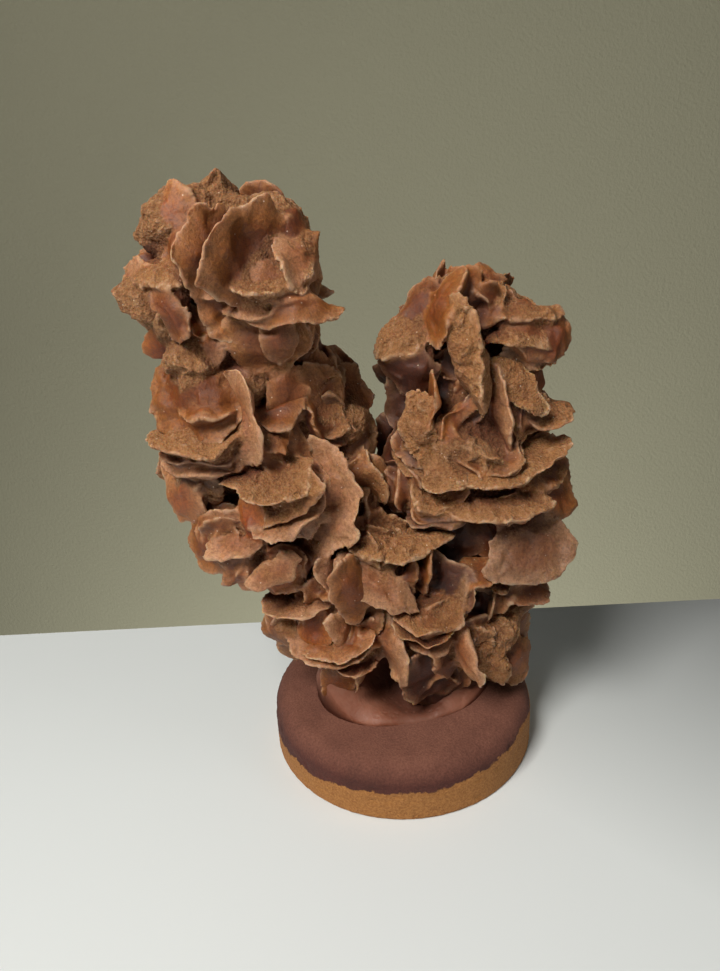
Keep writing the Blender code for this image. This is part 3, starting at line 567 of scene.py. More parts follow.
def sprouts():
    """Small blades that stand out of the hearts all over, as scales do: the way out from the
    heart lies in a blade's own plane, or leans off it by up to 35 degrees."""
    rng = np.random.default_rng(SEED + 2)
    made = []
    for heart in HEARTS:
        for _ in range(int(SCALES_PER_MM2 * heart.rx * heart.rz)):
            out = rng.normal(size=3)
            out /= np.linalg.norm(out)
            normal = np.cross(out, rng.normal(size=3))
            normal = normal / np.linalg.norm(normal) + rng.uniform(-0.6, 0.6) * out
            normal /= np.linalg.norm(normal)
            side = np.cross(out, normal)
            side /= np.linalg.norm(side)
            size = rng.uniform(4.0, 8.0)
            root = np.array(heart[:3]) + out * (np.array(heart[3:]) - 0.45 * size)
            made.append(Blade("tspbst"[len(made) % 6], root,
                              np.array([side, np.cross(normal, side), normal]),
                              size, size * rng.uniform(0.7, 1.2), rng.uniform(1.5, 2.6), 0, 0, 0,
                              SCALE_SEEDS + len(made)))
    return made


front = front_rows()
blades = [blade_from(row, SEED + i) for i, row in enumerate(front + back_rows(front))]
blades += side_blades()
blades += [petal for number, rosette in enumerate(ROSETTES + back_rosettes())
           for petal in petals(rosette, number)]
blades += [leaf for blade in blades if blade.wide * blade.tall > LEAFY_FROM
           and blade.look in LEAFY_LOOKS for leaf in leaves(blade)]
blades += sprouts()
print("blades in all:", len(blades))

# %% Which node holds a blade
# planes of the cuts: a point and the upward direction, or to the right for the fork
LEFT_CUT = ((-12.0, 0.0, 71.0), (-0.6, 0.0, 0.8))
RIGHT_CUT = ((14.0, 0.0, 72.0), (0.35, 0.0, 0.94))
FORK = ((1.5, 0.0, 78.0), (0.97, 0.0, 0.243))


def height_over(middle, plane):
    """How far a point lies on the upper side of a plane given by a point and a normal."""
    return float(np.dot(np.array(middle) - plane[0], plane[1]))


def node_of(middle):
    """Left arm or right arm above their cuts, on their own side of the fork; else the foot."""
    side = height_over(middle, FORK)
    if side < 0 and height_over(middle, LEFT_CUT) > 0:
        return "rose_left_arm"
    if side > 0 and height_over(middle, RIGHT_CUT) > 0:
        return "rose_right_arm"
    return "rose_foot"


# %% [markdown]
# ## Fusing a cluster
# A cluster is a block of space cut into half-millimetre cells. Every cell keeps its distance
# to the nearest stone, and which blade that is. Where two blades meet, their distances are
# blended, so a small fillet of stone grows between them. Valleys then fill with sand: space is
# blurred, and what is more than about half full becomes solid.

# %% A block of space
CELL = 0.5      # side of a cell, mm
WEB = 0.9                      # how far apart two blades begin to blend, mm
ROOT_WEB = 3.0                 # how much farther apart near a blade's middle
HEART_WEB = 2.5
SAND_WEB = 0.6
FAR = 4.0                      # the distance kept where nothing is near, mm
ROOM = 1.5                     # added all round a blade for its nicks and bends, mm
SAND_BLUR = 2.6                # mm
SAND_LEVEL = 0.57              # share of stone around a point at which sand fills it


class Block:
    """Space around a cluster: distance, nearest blade and its share of radius, in cells."""

    def __init__(self, low, high):
        self.low = np.array(low, np.float32)
        size = np.ceil((np.array(high) - low) / CELL).astype(int)
        self.distance = np.full(size, FAR, np.float32)
        self.owner = np.full(size, -1, np.int16)
        self.share = np.zeros(size, np.float32)

    def part(self, middle, reach):
        """The slices of the block within reach of a point, and the places of their cells."""
        first = np.clip(((middle - reach - self.low) / CELL).astype(int), 0, None)
        last = np.clip(((middle + reach - self.low) / CELL).astype(int) + 1, 0,
                       self.distance.shape)
        cut = tuple(slice(a, b) for a, b in zip(first, last))
        return cut, [self.low[k] + CELL * np.arange(first[k], max(last[k], first[k]),
                                                    dtype=np.float32) for k in range(3)]


def blended(first, second, width):
    """The smaller of two distances; where they differ by less than width, a little less."""
    share = np.clip(0.5 + 0.5 * (second - first) / width, 0, 1)
    return second + (first - second) * share - width * share * (1 - share)


def add_blade(block, number):
    """Brings one blade into a block. Only cells within its thickness are worked out."""
    blade = blades[number]
    reach = max(blade.wide, blade.tall) * (1.12 + blade.reach) + ROOM
    cut, (x, y, z) = block.part(blade.middle, reach)
    nx, ny, nz = blade.axes[2]
    over = ((x - blade.middle[0]) * nx)[:, None, None] + ((y - blade.middle[1]) * ny)[
        None, :, None] + ((z - blade.middle[2]) * nz)[None, None, :]
    slack = blade.thick / 2 + abs(blade.dish) + 0.1 * blade.tall + ROOM
    i, j, k = np.nonzero(np.abs(over) < slack)
    if len(i) == 0:
        return
    distance, share = blade_distance(np.stack([x[i], y[j], z[k]], 1), blade)
    before = block.distance[cut][i, j, k]
    closer = distance < before
    block.distance[cut][i, j, k] = blended(before, distance, WEB + ROOT_WEB * (1 - share))
    here = tuple(axis[closer] for axis in (i, j, k))
    block.owner[cut][here] = number
    block.share[cut][here] = share[closer]


def add_lump(block, lump, seed, rough):
    """Brings a sandy lump into a block: a stretched ball whose size wanders by noise, rough mm
    up and down, with knobs half as wide on top."""
    size = np.array(lump[3:])
    cut, axes = block.part(np.array(lump[:3]), size.max() + 2)
    points = np.stack(np.meshgrid(*axes, indexing="ij"), -1)
    share = np.sqrt((((points - lump[:3]) / size) ** 2).sum(-1))
    flat = points.reshape(-1, 3)
    wander = soft_noise(flat, 4.2, seed) + 0.7 * np.abs(soft_noise(flat, 2.0, seed + 1))
    distance = (share - 1) * size.min() + rough * wander.reshape(share.shape)
    block.owner[cut][distance < block.distance[cut]] = -1
    block.distance[cut] = blended(block.distance[cut], distance, HEART_WEB)


def blurred(grid, spread):
    """A grid blurred by a round bell curve: a product with a bell in its Fourier transform."""
    waves = [np.fft.fftfreq(n) for n in grid.shape[:2]] + [np.fft.rfftfreq(grid.shape[2])]
    x, y, z = (np.exp(-2 * (math.pi * spread / CELL * w) ** 2) for w in waves)
    bell = x[:, None, None] * y[None, :, None] * z[None, None, :]
    return np.fft.irfftn(np.fft.rfftn(grid) * bell, grid.shape).astype(np.float32)


def fill_valleys(block):
    """Sand in the valleys: wherever the blurred stone is over SAND_LEVEL. Dividing by the
    blur's slope at a flat face, 0.4 / SAND_BLUR, makes it a distance."""
    around = blurred((block.distance < 0).astype(np.float32), SAND_BLUR)
    sand = (SAND_LEVEL - around) * SAND_BLUR / 0.4
    block.owner[sand < block.distance - 0.15] = -1
    block.distance = blended(block.distance, sand, SAND_WEB)


# %% The skin of a block
def corner_shift(offset, shape):
    """Slices that look at the corner of every cell in a grid of corners."""
    return tuple(slice(o, n - 1 + o) for o, n in zip(offset, shape))


def skin_of(block):
    """One closed skin where the distance is 0. Each cell that the surface crosses gets a point
    in the middle of the crossings on its twelve edges. Each grid edge that the surface
    crosses gets a face through the four cells around it."""
    field = block.distance
    stone = field < 0
    corners = [stone[corner_shift(o, field.shape)] for o in np.ndindex(2, 2, 2)]
    crossed = np.logical_or.reduce(corners) & ~np.logical_and.reduce(corners)
    number = np.full(crossed.shape, -1)
    number[crossed] = np.arange(crossed.sum())
    return skin_points(block, np.argwhere(crossed)), skin_faces(stone, number)


def skin_points(block, cells):
    """For each cell the mean of the places where the surface crosses its edges."""
    field = block.distance
    total, count = np.zeros((len(cells), 3)), np.zeros(len(cells))
    for axis in range(3):
        step = np.eye(3, dtype=int)[axis]
        for offset in np.ndindex(2, 2, 2):
            if offset[axis]:
                continue
            start = cells + offset
            a, b = field[tuple(start.T)], field[tuple((start + step).T)]
            hit = (a < 0) != (b < 0)
            way = a[hit] / (a[hit] - b[hit])
            total[hit] += np.array(offset) + way[:, None] * step
            count[hit] += 1
    return block.low + CELL * (cells + total / count[:, None])


def skin_faces(stone, number):
    """A face across each grid edge that goes from stone to air, turned to look at the air."""
    faces = []
    for axis in range(3):
        u, v = (axis + 1) % 3, (axis + 2) % 3
        a = np.moveaxis(stone, (axis, u, v), (0, 1, 2))
        n = np.moveaxis(number, (axis, u, v), (0, 1, 2))
        for change, turn in ((a[:-1] & ~a[1:], 1), (~a[:-1] & a[1:], -1)):
            p, q, r = np.nonzero(change[:, 1:-1, 1:-1])
            q, r = q + 1, r + 1
            quad = np.stack([n[p, q - 1, r - 1], n[p, q, r - 1], n[p, q, r], n[p, q - 1, r]], 1)
            faces.append(quad[:, ::turn])
    return np.vstack(faces)


def normals_of(mesh):
    """The outward direction at each point of a mesh."""
    flat = np.empty(len(mesh.vertices) * 3, np.float32)
    mesh.vertex_normals.foreach_get("vector", flat)
    return flat.reshape(-1, 3).astype(float)


def edges_of(mesh):
    """The two point numbers of every edge."""
    flat = np.empty(len(mesh.edges) * 2, int)
    mesh.edges.foreach_get("vertices", flat)
    return flat.reshape(-1, 2).T


def averaged(values, edges):
    """Each point's value becomes the mean of its neighbours' values."""
    a, b = edges
    count = np.bincount(a, minlength=len(values)) + np.bincount(b, minlength=len(values))
    columns = []
    for column in values.T:
        total = (np.bincount(a, column[b], len(values))
                 + np.bincount(b, column[a], len(values)))
        columns.append(total / np.maximum(count, 1))
    return np.stack(columns, 1)


# %% [markdown]
# ## What every point of the skin should know
# The finish needs to know where it is: on which blade, how near its rim, how deep in a crevice.
# Blade and rim are kept in the block. Depth comes from the same blur that brings the sand:
# wider, it says how much stone stands around a point.

# %% Reading the block
def sampled(block, grid, points):
    """The grid's values at points in mm, blended between the eight cells around each."""
    place = np.clip((points - block.low) / CELL, 0, np.array(grid.shape) - 1.001)
    cell = place.astype(int)
    t = place - cell
    total = np.zeros(len(points))
    for d in np.ndindex(2, 2, 2):
        weight = np.prod(np.where(d, t, 1 - t), 1)
        total += weight * grid[tuple((cell + d).T)]
    return total


def nearest_cell(block, grid, points):
    """The grid's value in the cell that holds each point."""
    cell = np.clip(np.rint((points - block.low) / CELL).astype(int), 0,
                   np.array(grid.shape) - 1)
    return grid[tuple(cell.T)]


# %% [markdown]
# ## Colours of gypsum
# Clean gypsum grown in red sand is caramel and lets light in. Where sand stuck to it, it is
# tan and dull. Weathered faces are dusty pink, and the blades in the depths are red-brown. The
# maroon look is partly that red-brown and partly painted shade, and the shaded dusty look is
# dusty pink darkened as painted shade.

# %% Looks of the blades
# letter: base colour of the face, and how much of it is covered with sand
LOOKS = {
    "c": ((0.228, 0.077, 0.011), 0.10),     # clear caramel
    "o": ((0.290, 0.086, 0.009), 0.05),     # orange, thin and glowing
    "b": ((0.170, 0.052, 0.009), 0.22),     # brown
    "m": ((0.075, 0.019, 0.005), 0.15),     # maroon: partly red-brown stone, partly painted shade
    "t": ((0.220, 0.085, 0.019), 0.42),     # tan
    "s": ((0.255, 0.108, 0.030), 0.80),     # sandy
    "k": ((0.350, 0.175, 0.085), 0.28),     # dusty pink
    "p": ((0.280, 0.112, 0.036), 0.15),     # pink-brown, smooth
    "d": ((0.230, 0.118, 0.060), 0.20),     # dusty, darkened as painted shade
    "g": ((0.160, 0.076, 0.030), 0.45),     # grey-brown
}
HEART_LOOK = ((0.150, 0.056, 0.016), 0.85)
ROOT_TINT = np.array([0.72, 0.50, 0.33])    # a blade's colour near its middle, where it is thick
PAINTED_UNDERSIDE_SHADE = np.array([0.40, 0.50, 0.60])  # painted shade: how much darker undersides are made
RIM_TINT = (0.400, 0.205, 0.105)            # what it pales towards near the rim


def blade_colours():
    """Colour and sand share of every blade, each a little lighter or darker than its look;
    the last row is the sandy heart's, for points that are near no blade."""
    rng = np.random.default_rng(SEED)
    rows = []
    for blade in blades:
        colour, sand = LOOKS[blade.look]
        rows.append([*(np.array(colour) * rng.uniform(0.86, 1.12)), sand])
    return np.array(rows + [[*HEART_LOOK[0], HEART_LOOK[1]]])


BLADE_COLOURS = blade_colours()


DRIFTS = ((1.6, 8.0, 51), (0.9, 3.2, 61))   # mm, over how many mm, seed
NEAR_BLUR, WIDE_BLUR = 2.2, 5.0             # mm
GRAIN_PUSH, PIT_DEPTH, RIPPLE_PUSH = 0.26, 0.75, 0.13      # mm
SMOOTHING = 0.45               # how far a point of the raw skin goes to its neighbours' mean
JUST_INSIDE = 0.4              # mm
LOOK_NEAR, LOOK_WIDE = 2.5, 4.0             # how far outside the crowding is read, mm
CREVICE_RANGE = (0.10, 0.42)   # share of stone around that begins and that makes a crevice
RIM_RANGE = (0.84, 0.98)       # share of a blade's radius
EDGE_RANGE = (0.02, 0.30)      # mm


def drifted(points):
    """Points moved by smooth noise, alike in every cluster. No plate stays flat and no rim
    stays round."""
    moved = points.copy()
    for axis in range(3):
        moved[:, axis] += sum(size * soft_noise(points, length, seed + axis)
                              for size, length, seed in DRIFTS)
    return moved


def skin_tones(owner, share, normals, edges):
    """Colour and sand share of each point: its blade's, richer near the middle, darker on
    undersides as painted shade, paler at rims, and then blended a little with its neighbours'."""
    rows = BLADE_COLOURS[owner]
    paling = smoothstep(0.25, 0.95, share)[:, None]
    rows[:, :3] *= np.where(owner[:, None] < 0, 1, ROOT_TINT + (1.08 - ROOT_TINT) * paling)
    # painted shade: undersides are darkened the more they face down
    rows[:, :3] *= 1 - PAINTED_UNDERSIDE_SHADE * smoothstep(0.1, 0.8, -normals[:, 2])[:, None]
    pale = (0.35 * smoothstep(0.7, 1.0, share) * (owner >= 0))[:, None]
    rows[:, :3] += pale * (np.array(RIM_TINT) - rows[:, :3])
    for _ in range(2):
        rows = 0.4 * rows + 0.6 * averaged(rows, edges)
    return rows


def sandiness(place, normals, look_sand, crevice, rim):
    """The look's share of sand, more in crevices and on ledges, less at rims, broken up by
    noise."""
    patches = soft_noise(place, 4.0, 21) + 0.6 * soft_noise(place, 1.7, 22)
    ledge = np.clip(normals[:, 2], 0, 1)
    return smoothstep(0.25, 0.8, look_sand + 0.25 * crevice + 0.2 * ledge - 0.3 * rim
                      + 0.28 * patches)


def roughness(place, sand, rim):
    """Grains push sandy points out and pits push them in; clean faces ripple a little. In mm."""
    grain = soft_noise(place, 0.9, 31) + 0.8 * soft_noise(place, 1.8, 32)
    pits = smoothstep(0.1, 0.6, soft_noise(place, 2.3, 33))
    ripple = soft_noise(place, 2.6, 34) + 0.5 * soft_noise(place, 1.2, 35)
    depth = PIT_DEPTH * (1 - 0.8 * rim)
    return sand * (GRAIN_PUSH * grain - depth * pits) + (1 - sand) * RIPPLE_PUSH * ripple


def finish_skin(block, name):
    """Makes the skin, roughens it, and stores tone, sand, edge and crevice for each point.
    An edge is a point that stands out of the mean of its neighbours, taken four times."""
    stone = (block.distance < 0).astype(np.float32)
    near, wide = blurred(stone, NEAR_BLUR), blurred(stone, WIDE_BLUR)
    place, faces = skin_of(block)
    mesh = mesh_from(name, place * MM, faces)
    edges = edges_of(mesh)
    place += SMOOTHING * (averaged(place, edges) - place)
    mesh.vertices.foreach_set("co", (place * MM).ravel())
    normals = normals_of(mesh)
    inner = place - JUST_INSIDE * normals
    owner = nearest_cell(block, block.owner, inner)
    share = nearest_cell(block, block.share, inner) * (owner >= 0)
    rows = skin_tones(owner, share, normals, edges)
    crowd = sampled(block, near, place + LOOK_NEAR * normals)
    shut_in = sampled(block, wide, place + LOOK_WIDE * normals)
    # crevice: how shut in a point is; it brings sand here and painted shade in the shader
    crevice = smoothstep(*CREVICE_RANGE, 0.5 * crowd + 0.5 * shut_in)
    rim = smoothstep(*RIM_RANGE, share)
    sand = sandiness(place, normals, rows[:, 3], crevice, rim)
    place += normals * roughness(place, sand, rim)[:, None]
    low = place
    for _ in range(4):
        low = averaged(low, edges)
    edge = ((place - low) * normals).sum(1)
    mesh.vertices.foreach_set("co", (drifted(place) * MM).ravel())
    set_values(mesh, "tone", rows[:, :3])
    set_values(mesh, "sand", sand)
    set_values(mesh, "edge", smoothstep(*EDGE_RANGE, edge) * (0.35 + 0.65 * rim))
    set_values(mesh, "crevice", crevice)
    mesh.update()
    return mesh


# %% [markdown]
# ## The gypsum itself
# The shader is one waxy stone for every blade. Light sinks a few millimetres in, which makes
# thin rims glow and keeps shadows soft. Base colour is the blade's tone, clouded at two
# scales, then paler at rims, partly their own colour and partly a painted highlight, sandy where
# sand stuck, with tiny painted highlight specks, and painted shade of deep orange-brown in
# crevices. Fine grain is left to the bump.

# %% Node helpers
def new_finish(name):
    """A node material; returns it, its tree and its shader."""
    finish = bpy.data.materials.new(name)
    finish.use_nodes = True
    return finish, finish.node_tree, finish.node_tree.nodes["Principled BSDF"]


def wire(tree, source, target):
    """Links a value, colour or number into a socket."""
    if isinstance(source, bpy.types.NodeSocket):
        tree.links.new(source, target)
    elif isinstance(source, tuple):
        target.default_value = (*source, 1.0)
    else:
        target.default_value = source


def mixed(tree, share, first, second, mode="MIX"):
    """A colour between two colours by a share; other modes multiply or add instead."""
    node = tree.nodes.new("ShaderNodeMix")
    node.data_type, node.blend_type = "RGBA", mode
    wire(tree, share, node.inputs["Factor"])
    wire(tree, first, node.inputs[6])
    wire(tree, second, node.inputs[7])
    return node.outputs[2]


def tinted(tree, colour, tint):
    """A colour times another."""
    return mixed(tree, 1.0, colour, tint, "MULTIPLY")


def ranged(tree, value, low, high, out_low=0.0, out_high=1.0):
    """A value stretched from one range to another, and held at its ends."""
    node = tree.nodes.new("ShaderNodeMapRange")
    wire(tree, value, node.inputs["Value"])
    for name, number in (("From Min", low), ("From Max", high), ("To Min", out_low),
                         ("To Max", out_high)):
        node.inputs[name].default_value = number
    return node.outputs["Result"]


def calc(tree, operation, first, second):
    """Two numbers added, multiplied and so on."""
    node = tree.nodes.new("ShaderNodeMath")
    node.operation = operation
    wire(tree, first, node.inputs[0])
    wire(tree, second, node.inputs[1])
    return node.outputs[0]


def times(tree, first, second):
    """Two numbers multiplied."""
    return calc(tree, "MULTIPLY", first, second)


def object_axes(tree):
    """The X, Y and Z of a point in the object's own space."""
    place = tree.nodes.new("ShaderNodeTexCoord")
    split = tree.nodes.new("ShaderNodeSeparateXYZ")
    tree.links.new(place.outputs["Object"], split.inputs[0])
    return split.outputs


def object_noise(tree, per_metre, detail=3.0, rough=0.55):
    """Noise in the object's own space, with so many cells to a metre."""
    place = tree.nodes.new("ShaderNodeTexCoord")
    node = tree.nodes.new("ShaderNodeTexNoise")
    node.inputs["Scale"].default_value = per_metre
    node.inputs["Detail"].default_value = detail
    node.inputs["Roughness"].default_value = rough
    tree.links.new(place.outputs["Object"], node.inputs["Vector"])
    return node.outputs["Fac"]


def object_cells(tree, per_metre):
    """Round cells in the object's own space: distance to the middle, and a random colour."""
    place = tree.nodes.new("ShaderNodeTexCoord")
    node = tree.nodes.new("ShaderNodeTexVoronoi")
    node.inputs["Scale"].default_value = per_metre
    tree.links.new(place.outputs["Object"], node.inputs["Vector"])
    return node.outputs["Distance"], node.outputs["Color"]


def stored(tree, name):
    """A value stored on the mesh's points; tone is a colour, the others are numbers."""
    node = tree.nodes.new("ShaderNodeAttribute")
    node.attribute_name = name
    return node.outputs["Color" if name == "tone" else "Fac"]


def bumped(tree, shader, height, depth_mm, strength):
    """Bump from a height of 0 to 1, over a depth in millimetres."""
    node = tree.nodes.new("ShaderNodeBump")
    node.inputs["Strength"].default_value = strength
    node.inputs["Distance"].default_value = depth_mm * MM
    tree.links.new(height, node.inputs["Height"])
    tree.links.new(node.outputs["Normal"], shader.inputs["Normal"])


# %% Gypsum
SAND_COLOUR = (0.205, 0.083, 0.024)
SAND_PALE = (0.350, 0.180, 0.076)
# pale rim colour: partly the stone's own, partly a painted highlight
RIM_PALE_AND_HIGHLIGHT = (0.560, 0.370, 0.230)
# painted shade colour for crevices
PAINTED_CREVICE_SHADE = (0.30, 0.125, 0.05)
# colour of the painted highlight specks
PAINTED_GLINT_COLOUR = (0.8, 0.68, 0.56)
CLOUD_TINTS = ((0.72, 0.66, 0.6), (1.3, 1.32, 1.36))
GRAIN_TINTS = ((0.7, 0.64, 0.58), (1.32, 1.38, 1.46))


def gypsum():
    """Waxy stone: tone, clouds, sand, paler rims with a painted highlight, painted highlight
    specks, painted shade in crevices, and light that sinks in.
    """
    finish, tree, shader = new_finish("sand_rose_gypsum")
    sand, edge, crevice = (stored(tree, name) for name in ("sand", "edge", "crevice"))
    clouds = object_noise(tree, 170, 5.0)
    grain = object_noise(tree, 1100, 3.0, 0.8)
    specks, speck_tint = object_cells(tree, 1500)
    tone = tinted(tree, stored(tree, "tone"), mixed(tree, clouds, *CLOUD_TINTS))
    tone = tinted(tree, tone, mixed(tree, ranged(tree, grain, 0.35, 0.65), *GRAIN_TINTS))
    crust = mixed(tree, ranged(tree, grain, 0.35, 0.66), SAND_COLOUR, SAND_PALE)
    dusty = times(tree, sand, ranged(tree, grain, 0.25, 0.6, 0.3, 0.75))
    colour = mixed(tree, dusty, tone, crust)
    worn = ranged(tree, object_noise(tree, 210, 2.0), 0.38, 0.6, 0.15, 0.9)
    # rims that stand out go paler: partly their own colour, partly a painted highlight
    colour = mixed(tree, times(tree, edge, worn), colour, RIM_PALE_AND_HIGHLIGHT)
    # painted highlight: tiny bright specks in a few picked cells
    painted_glints = times(tree, ranged(tree, speck_tint, 0.90, 0.93),
                   ranged(tree, specks, 0.2, 0.35, 1.0, 0.0))
    colour = mixed(tree, times(tree, painted_glints, 0.6), colour, PAINTED_GLINT_COLOUR)
    # painted shade: deep in crevices the colour is darkened towards orange-brown
    colour = mixed(tree, ranged(tree, crevice, 0.0, 1.0, 0.0, 0.9), colour,
                   tinted(tree, colour, PAINTED_CREVICE_SHADE))
    tree.links.new(colour, shader.inputs["Base Color"])
    tree.links.new(ranged(tree, calc(tree, "ADD", sand, grain), 0.3, 1.2, 0.48, 0.9),
                   shader.inputs["Roughness"])
    shader.inputs["Subsurface Weight"].default_value = 0.4
    shader.inputs["Subsurface Radius"].default_value = (1.0, 0.38, 0.12)
    shader.inputs["Subsurface Scale"].default_value = 1.8 * MM
    shader.inputs["IOR"].default_value = 1.52
    height = calc(tree, "ADD", times(tree, grain, 0.6),
                  times(tree, times(tree, specks, sand), 0.8))
    bumped(tree, shader, height, 0.55, 0.85)
    return finish


GYPSUM = gypsum()

# %% [markdown]
# ## The rose
# Each arm and the foot take the place of their nodes. They are cut by height into nine
# clusters, so that each skin stays light enough.

# %% Growing the clusters
CRUST_ROUGH, HEART_ROUGH = 1.3, 1.1         # mm
BORDER = 3                                  # empty space round a cluster, mm
CLUSTERS = {
    "left_arm_head": ("rose_left_arm", 145.0, 999.0),
    "left_arm_neck": ("rose_left_arm", 119.0, 145.0),
    "left_arm_body": ("rose_left_arm", 93.0, 119.0),
    "left_arm_shoulder": ("rose_left_arm", 0.0, 93.0),
    "right_arm_head": ("rose_right_arm", 125.0, 999.0),
    "right_arm_neck": ("rose_right_arm", 98.0, 125.0),
    "right_arm_body": ("rose_right_arm", 0.0, 98.0),
    "foot_upper": ("rose_foot", 52.0, 999.0),
    "foot_lower": ("rose_foot", 0.0, 52.0),
}


def grow(name, node, low, high):
    """Fuses the blades and lumps whose middles are in the node between two heights."""
    def inside(middle):
        return node_of(middle) == node and low <= middle[2] < high
    members = [i for i, blade in enumerate(blades) if inside(blade.middle)]
    lumps = [i for i, lump in enumerate(LUMPS) if inside(lump[:3])]
    spheres = [(blades[i].middle, max(blades[i].wide, blades[i].tall) * 1.15) for i in members]
    spheres += [(np.array(LUMPS[i][:3]), max(LUMPS[i][3:])) for i in lumps]
    block = Block(np.min([m - r for m, r in spheres], 0) - BORDER,
                  np.max([m + r for m, r in spheres], 0) + BORDER)
    for i in lumps:
        rough = CRUST_ROUGH if i < len(CRUST_LUMPS) else HEART_ROUGH
        add_lump(block, LUMPS[i], SEED + i, rough)
    for i in members:
        add_blade(block, i)
    fill_valleys(block)
    mesh = finish_skin(block, "rose_" + name)
    mesh.materials.append(GYPSUM)
    piece = link("rose_" + name, mesh)
    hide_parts(node)
    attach(piece, "root")
    print(name, len(members), "blades,", 2 * len(mesh.polygons), "triangles")


for cluster, (node, low, high) in CLUSTERS.items():
    grow(cluster, node, low, high)

# %% [markdown]
# ## The disc
# The disc was cast in a mould from sand and a little cement, so its edge is soft and every
# surface is grains. Red-brown paint covers the top and the upper part of the side and ends in
# an uneven line; the bare sand shows below. It is a profile turned round, with the grains
# pushed inwards so that it keeps its size.

# %% Disc
DISC_RADIUS, DISC_HEIGHT = 42.5, 18.5
DISC_TOP_ROUND, DISC_FOOT_ROUND = 6.5, 0.8
PAINT_LINE = 10.5              # height of the paint's lower edge in the middle of the front, mm
PAINT_RISE = -0.08             # less this much for each mm to the right: the edge slopes up
PAINT_BLUR = 0.25              # half the width in which paint gives way to sand, mm
DISC_GRAINS, DISC_DENTS, DISC_WAVES = 0.28, 0.35, 0.45      # depths, mm
BARE_SAND = ((0.26, 0.100, 0.024), (0.46, 0.210, 0.060))
PAINT = ((0.062, 0.0150, 0.0100), (0.105, 0.0290, 0.0200))
PAINT_TOP_TONE = ((0.18, 0.070, 0.044), (0.28, 0.120, 0.078))


def arc(centre_r, centre_z, radius, start, end, count):
    """Points of a profile on a quarter circle, as radius and height."""
    a = np.radians(np.linspace(start, end, count))
    return np.stack([centre_r + radius * np.cos(a), centre_z + radius * np.sin(a)], 1)


def line(start, end, count):
    """Points of a profile on a straight line, as radius and height."""
    return np.stack([np.linspace(a, b, count) for a, b in zip(start, end)], 1)


def disc_profile():
    """Underside, foot rounding, side, top rounding and top, from the middle to the middle."""
    lid_edge, shoulder = DISC_RADIUS - DISC_TOP_ROUND, DISC_HEIGHT - DISC_TOP_ROUND
    foot_edge = DISC_RADIUS - DISC_FOOT_ROUND
    under = line((0, 0), (foot_edge, 0), 24)
    foot = arc(foot_edge, DISC_FOOT_ROUND, DISC_FOOT_ROUND, -90, 0, 5)
    side = line((DISC_RADIUS, DISC_FOOT_ROUND), (DISC_RADIUS, shoulder), 24)
    top = arc(lid_edge, shoulder, DISC_TOP_ROUND, 0, 90, 13)
    lid = line((lid_edge, DISC_HEIGHT), (0, DISC_HEIGHT), 56)
    return np.vstack([under, foot[1:], side[1:-1], top, lid[1:]])


def cast_disc(around=300):
    """The profile turned about Z. Each point moves inwards by grains, by dents and by slow
    waves of the hand-cast side, each a depth times noise. The underside stays flat."""
    profile = disc_profile()
    angle = np.linspace(0, 2 * math.pi, around, endpoint=False)
    radius, height = profile[:, :1], profile[:, 1:]
    points = np.stack([radius * np.cos(angle), radius * np.sin(angle), height + 0 * angle], -1)
    flat = points.reshape(-1, 3)
    grain = 0.5 + 0.35 * soft_noise(flat, 0.8, 51) + 0.15 * soft_noise(flat, 0.45, 52)
    dents = smoothstep(0.45, 0.8, soft_noise(flat, 2.2, 53))
    slow = 0.5 + 0.5 * soft_noise(flat, 14.0, 54)
    inward = DISC_GRAINS * grain + DISC_DENTS * dents + DISC_WAVES * slow
    shrink = np.hypot(flat[:, 0], flat[:, 1]) / DISC_RADIUS
    flat[:, :2] *= (1 - inward * shrink / DISC_RADIUS)[:, None]
    flat[:, 2] -= smoothstep(8, 18, flat[:, 2]) * 0.7 * inward
    return flat, ring_faces(len(profile), around)


def cast_sand():
    """Maroon paint over tan sand: height over the paint line, wobbled by noise, picks one.
    The paint is clouded lighter and darker, and paler towards the top over its upper 6 mm."""
    finish, tree, shader = new_finish("painted_cast_sand")
    x, _, z = object_axes(tree)
    wobble = ranged(tree, object_noise(tree, 60, 3.0), 0.25, 0.75, -2.2 * MM, 2.2 * MM)
    crumbs = ranged(tree, object_noise(tree, 900, 2.0), 0.3, 0.7, -0.4 * MM, 0.4 * MM)
    level = calc(tree, "ADD", calc(tree, "ADD", z, wobble), crumbs)
    level = calc(tree, "ADD", level, times(tree, x, PAINT_RISE))
    painted = ranged(tree, level, (PAINT_LINE - PAINT_BLUR) * MM, (PAINT_LINE + PAINT_BLUR) * MM)
    grain = object_noise(tree, 1600, 2.0, 0.7)
    clouds = object_noise(tree, 90, 4.0)
    speckle = ranged(tree, grain, 0.3, 0.7)
    sand = mixed(tree, speckle, *BARE_SAND)
    worn = ranged(tree, clouds, 0.35, 0.7, 0.8, 1.3)
    paint = tinted(tree, mixed(tree, speckle, *PAINT), mixed(tree, worn, (0, 0, 0), (1, 1, 1)))
    # paler towards the top, over the upper 6 mm of the disc
    toward_top = ranged(tree, z, (DISC_HEIGHT - 6.0) * MM, DISC_HEIGHT * MM, 0, 0.7)
    toward_top = times(tree, toward_top, ranged(tree, clouds, 0.3, 0.6, 0.7, 1.1))
    paint = mixed(tree, toward_top, paint, mixed(tree, ranged(tree, grain, 0.35, 0.7), *PAINT_TOP_TONE))
    tree.links.new(mixed(tree, painted, sand, paint), shader.inputs["Base Color"])
    shader.inputs["Roughness"].default_value = 0.92
    bumped(tree, shader, grain, 0.4, 0.8)
    return finish


def dress(name, points, faces, finish, node, slot):
    """A finished piece that stands for one node."""
    mesh = mesh_from(name, points * MM, faces)
    mesh.materials.append(finish)
    piece = link(name, mesh)
    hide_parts(node)
    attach(piece, "root")
    print(name, len(mesh.polygons), "faces")


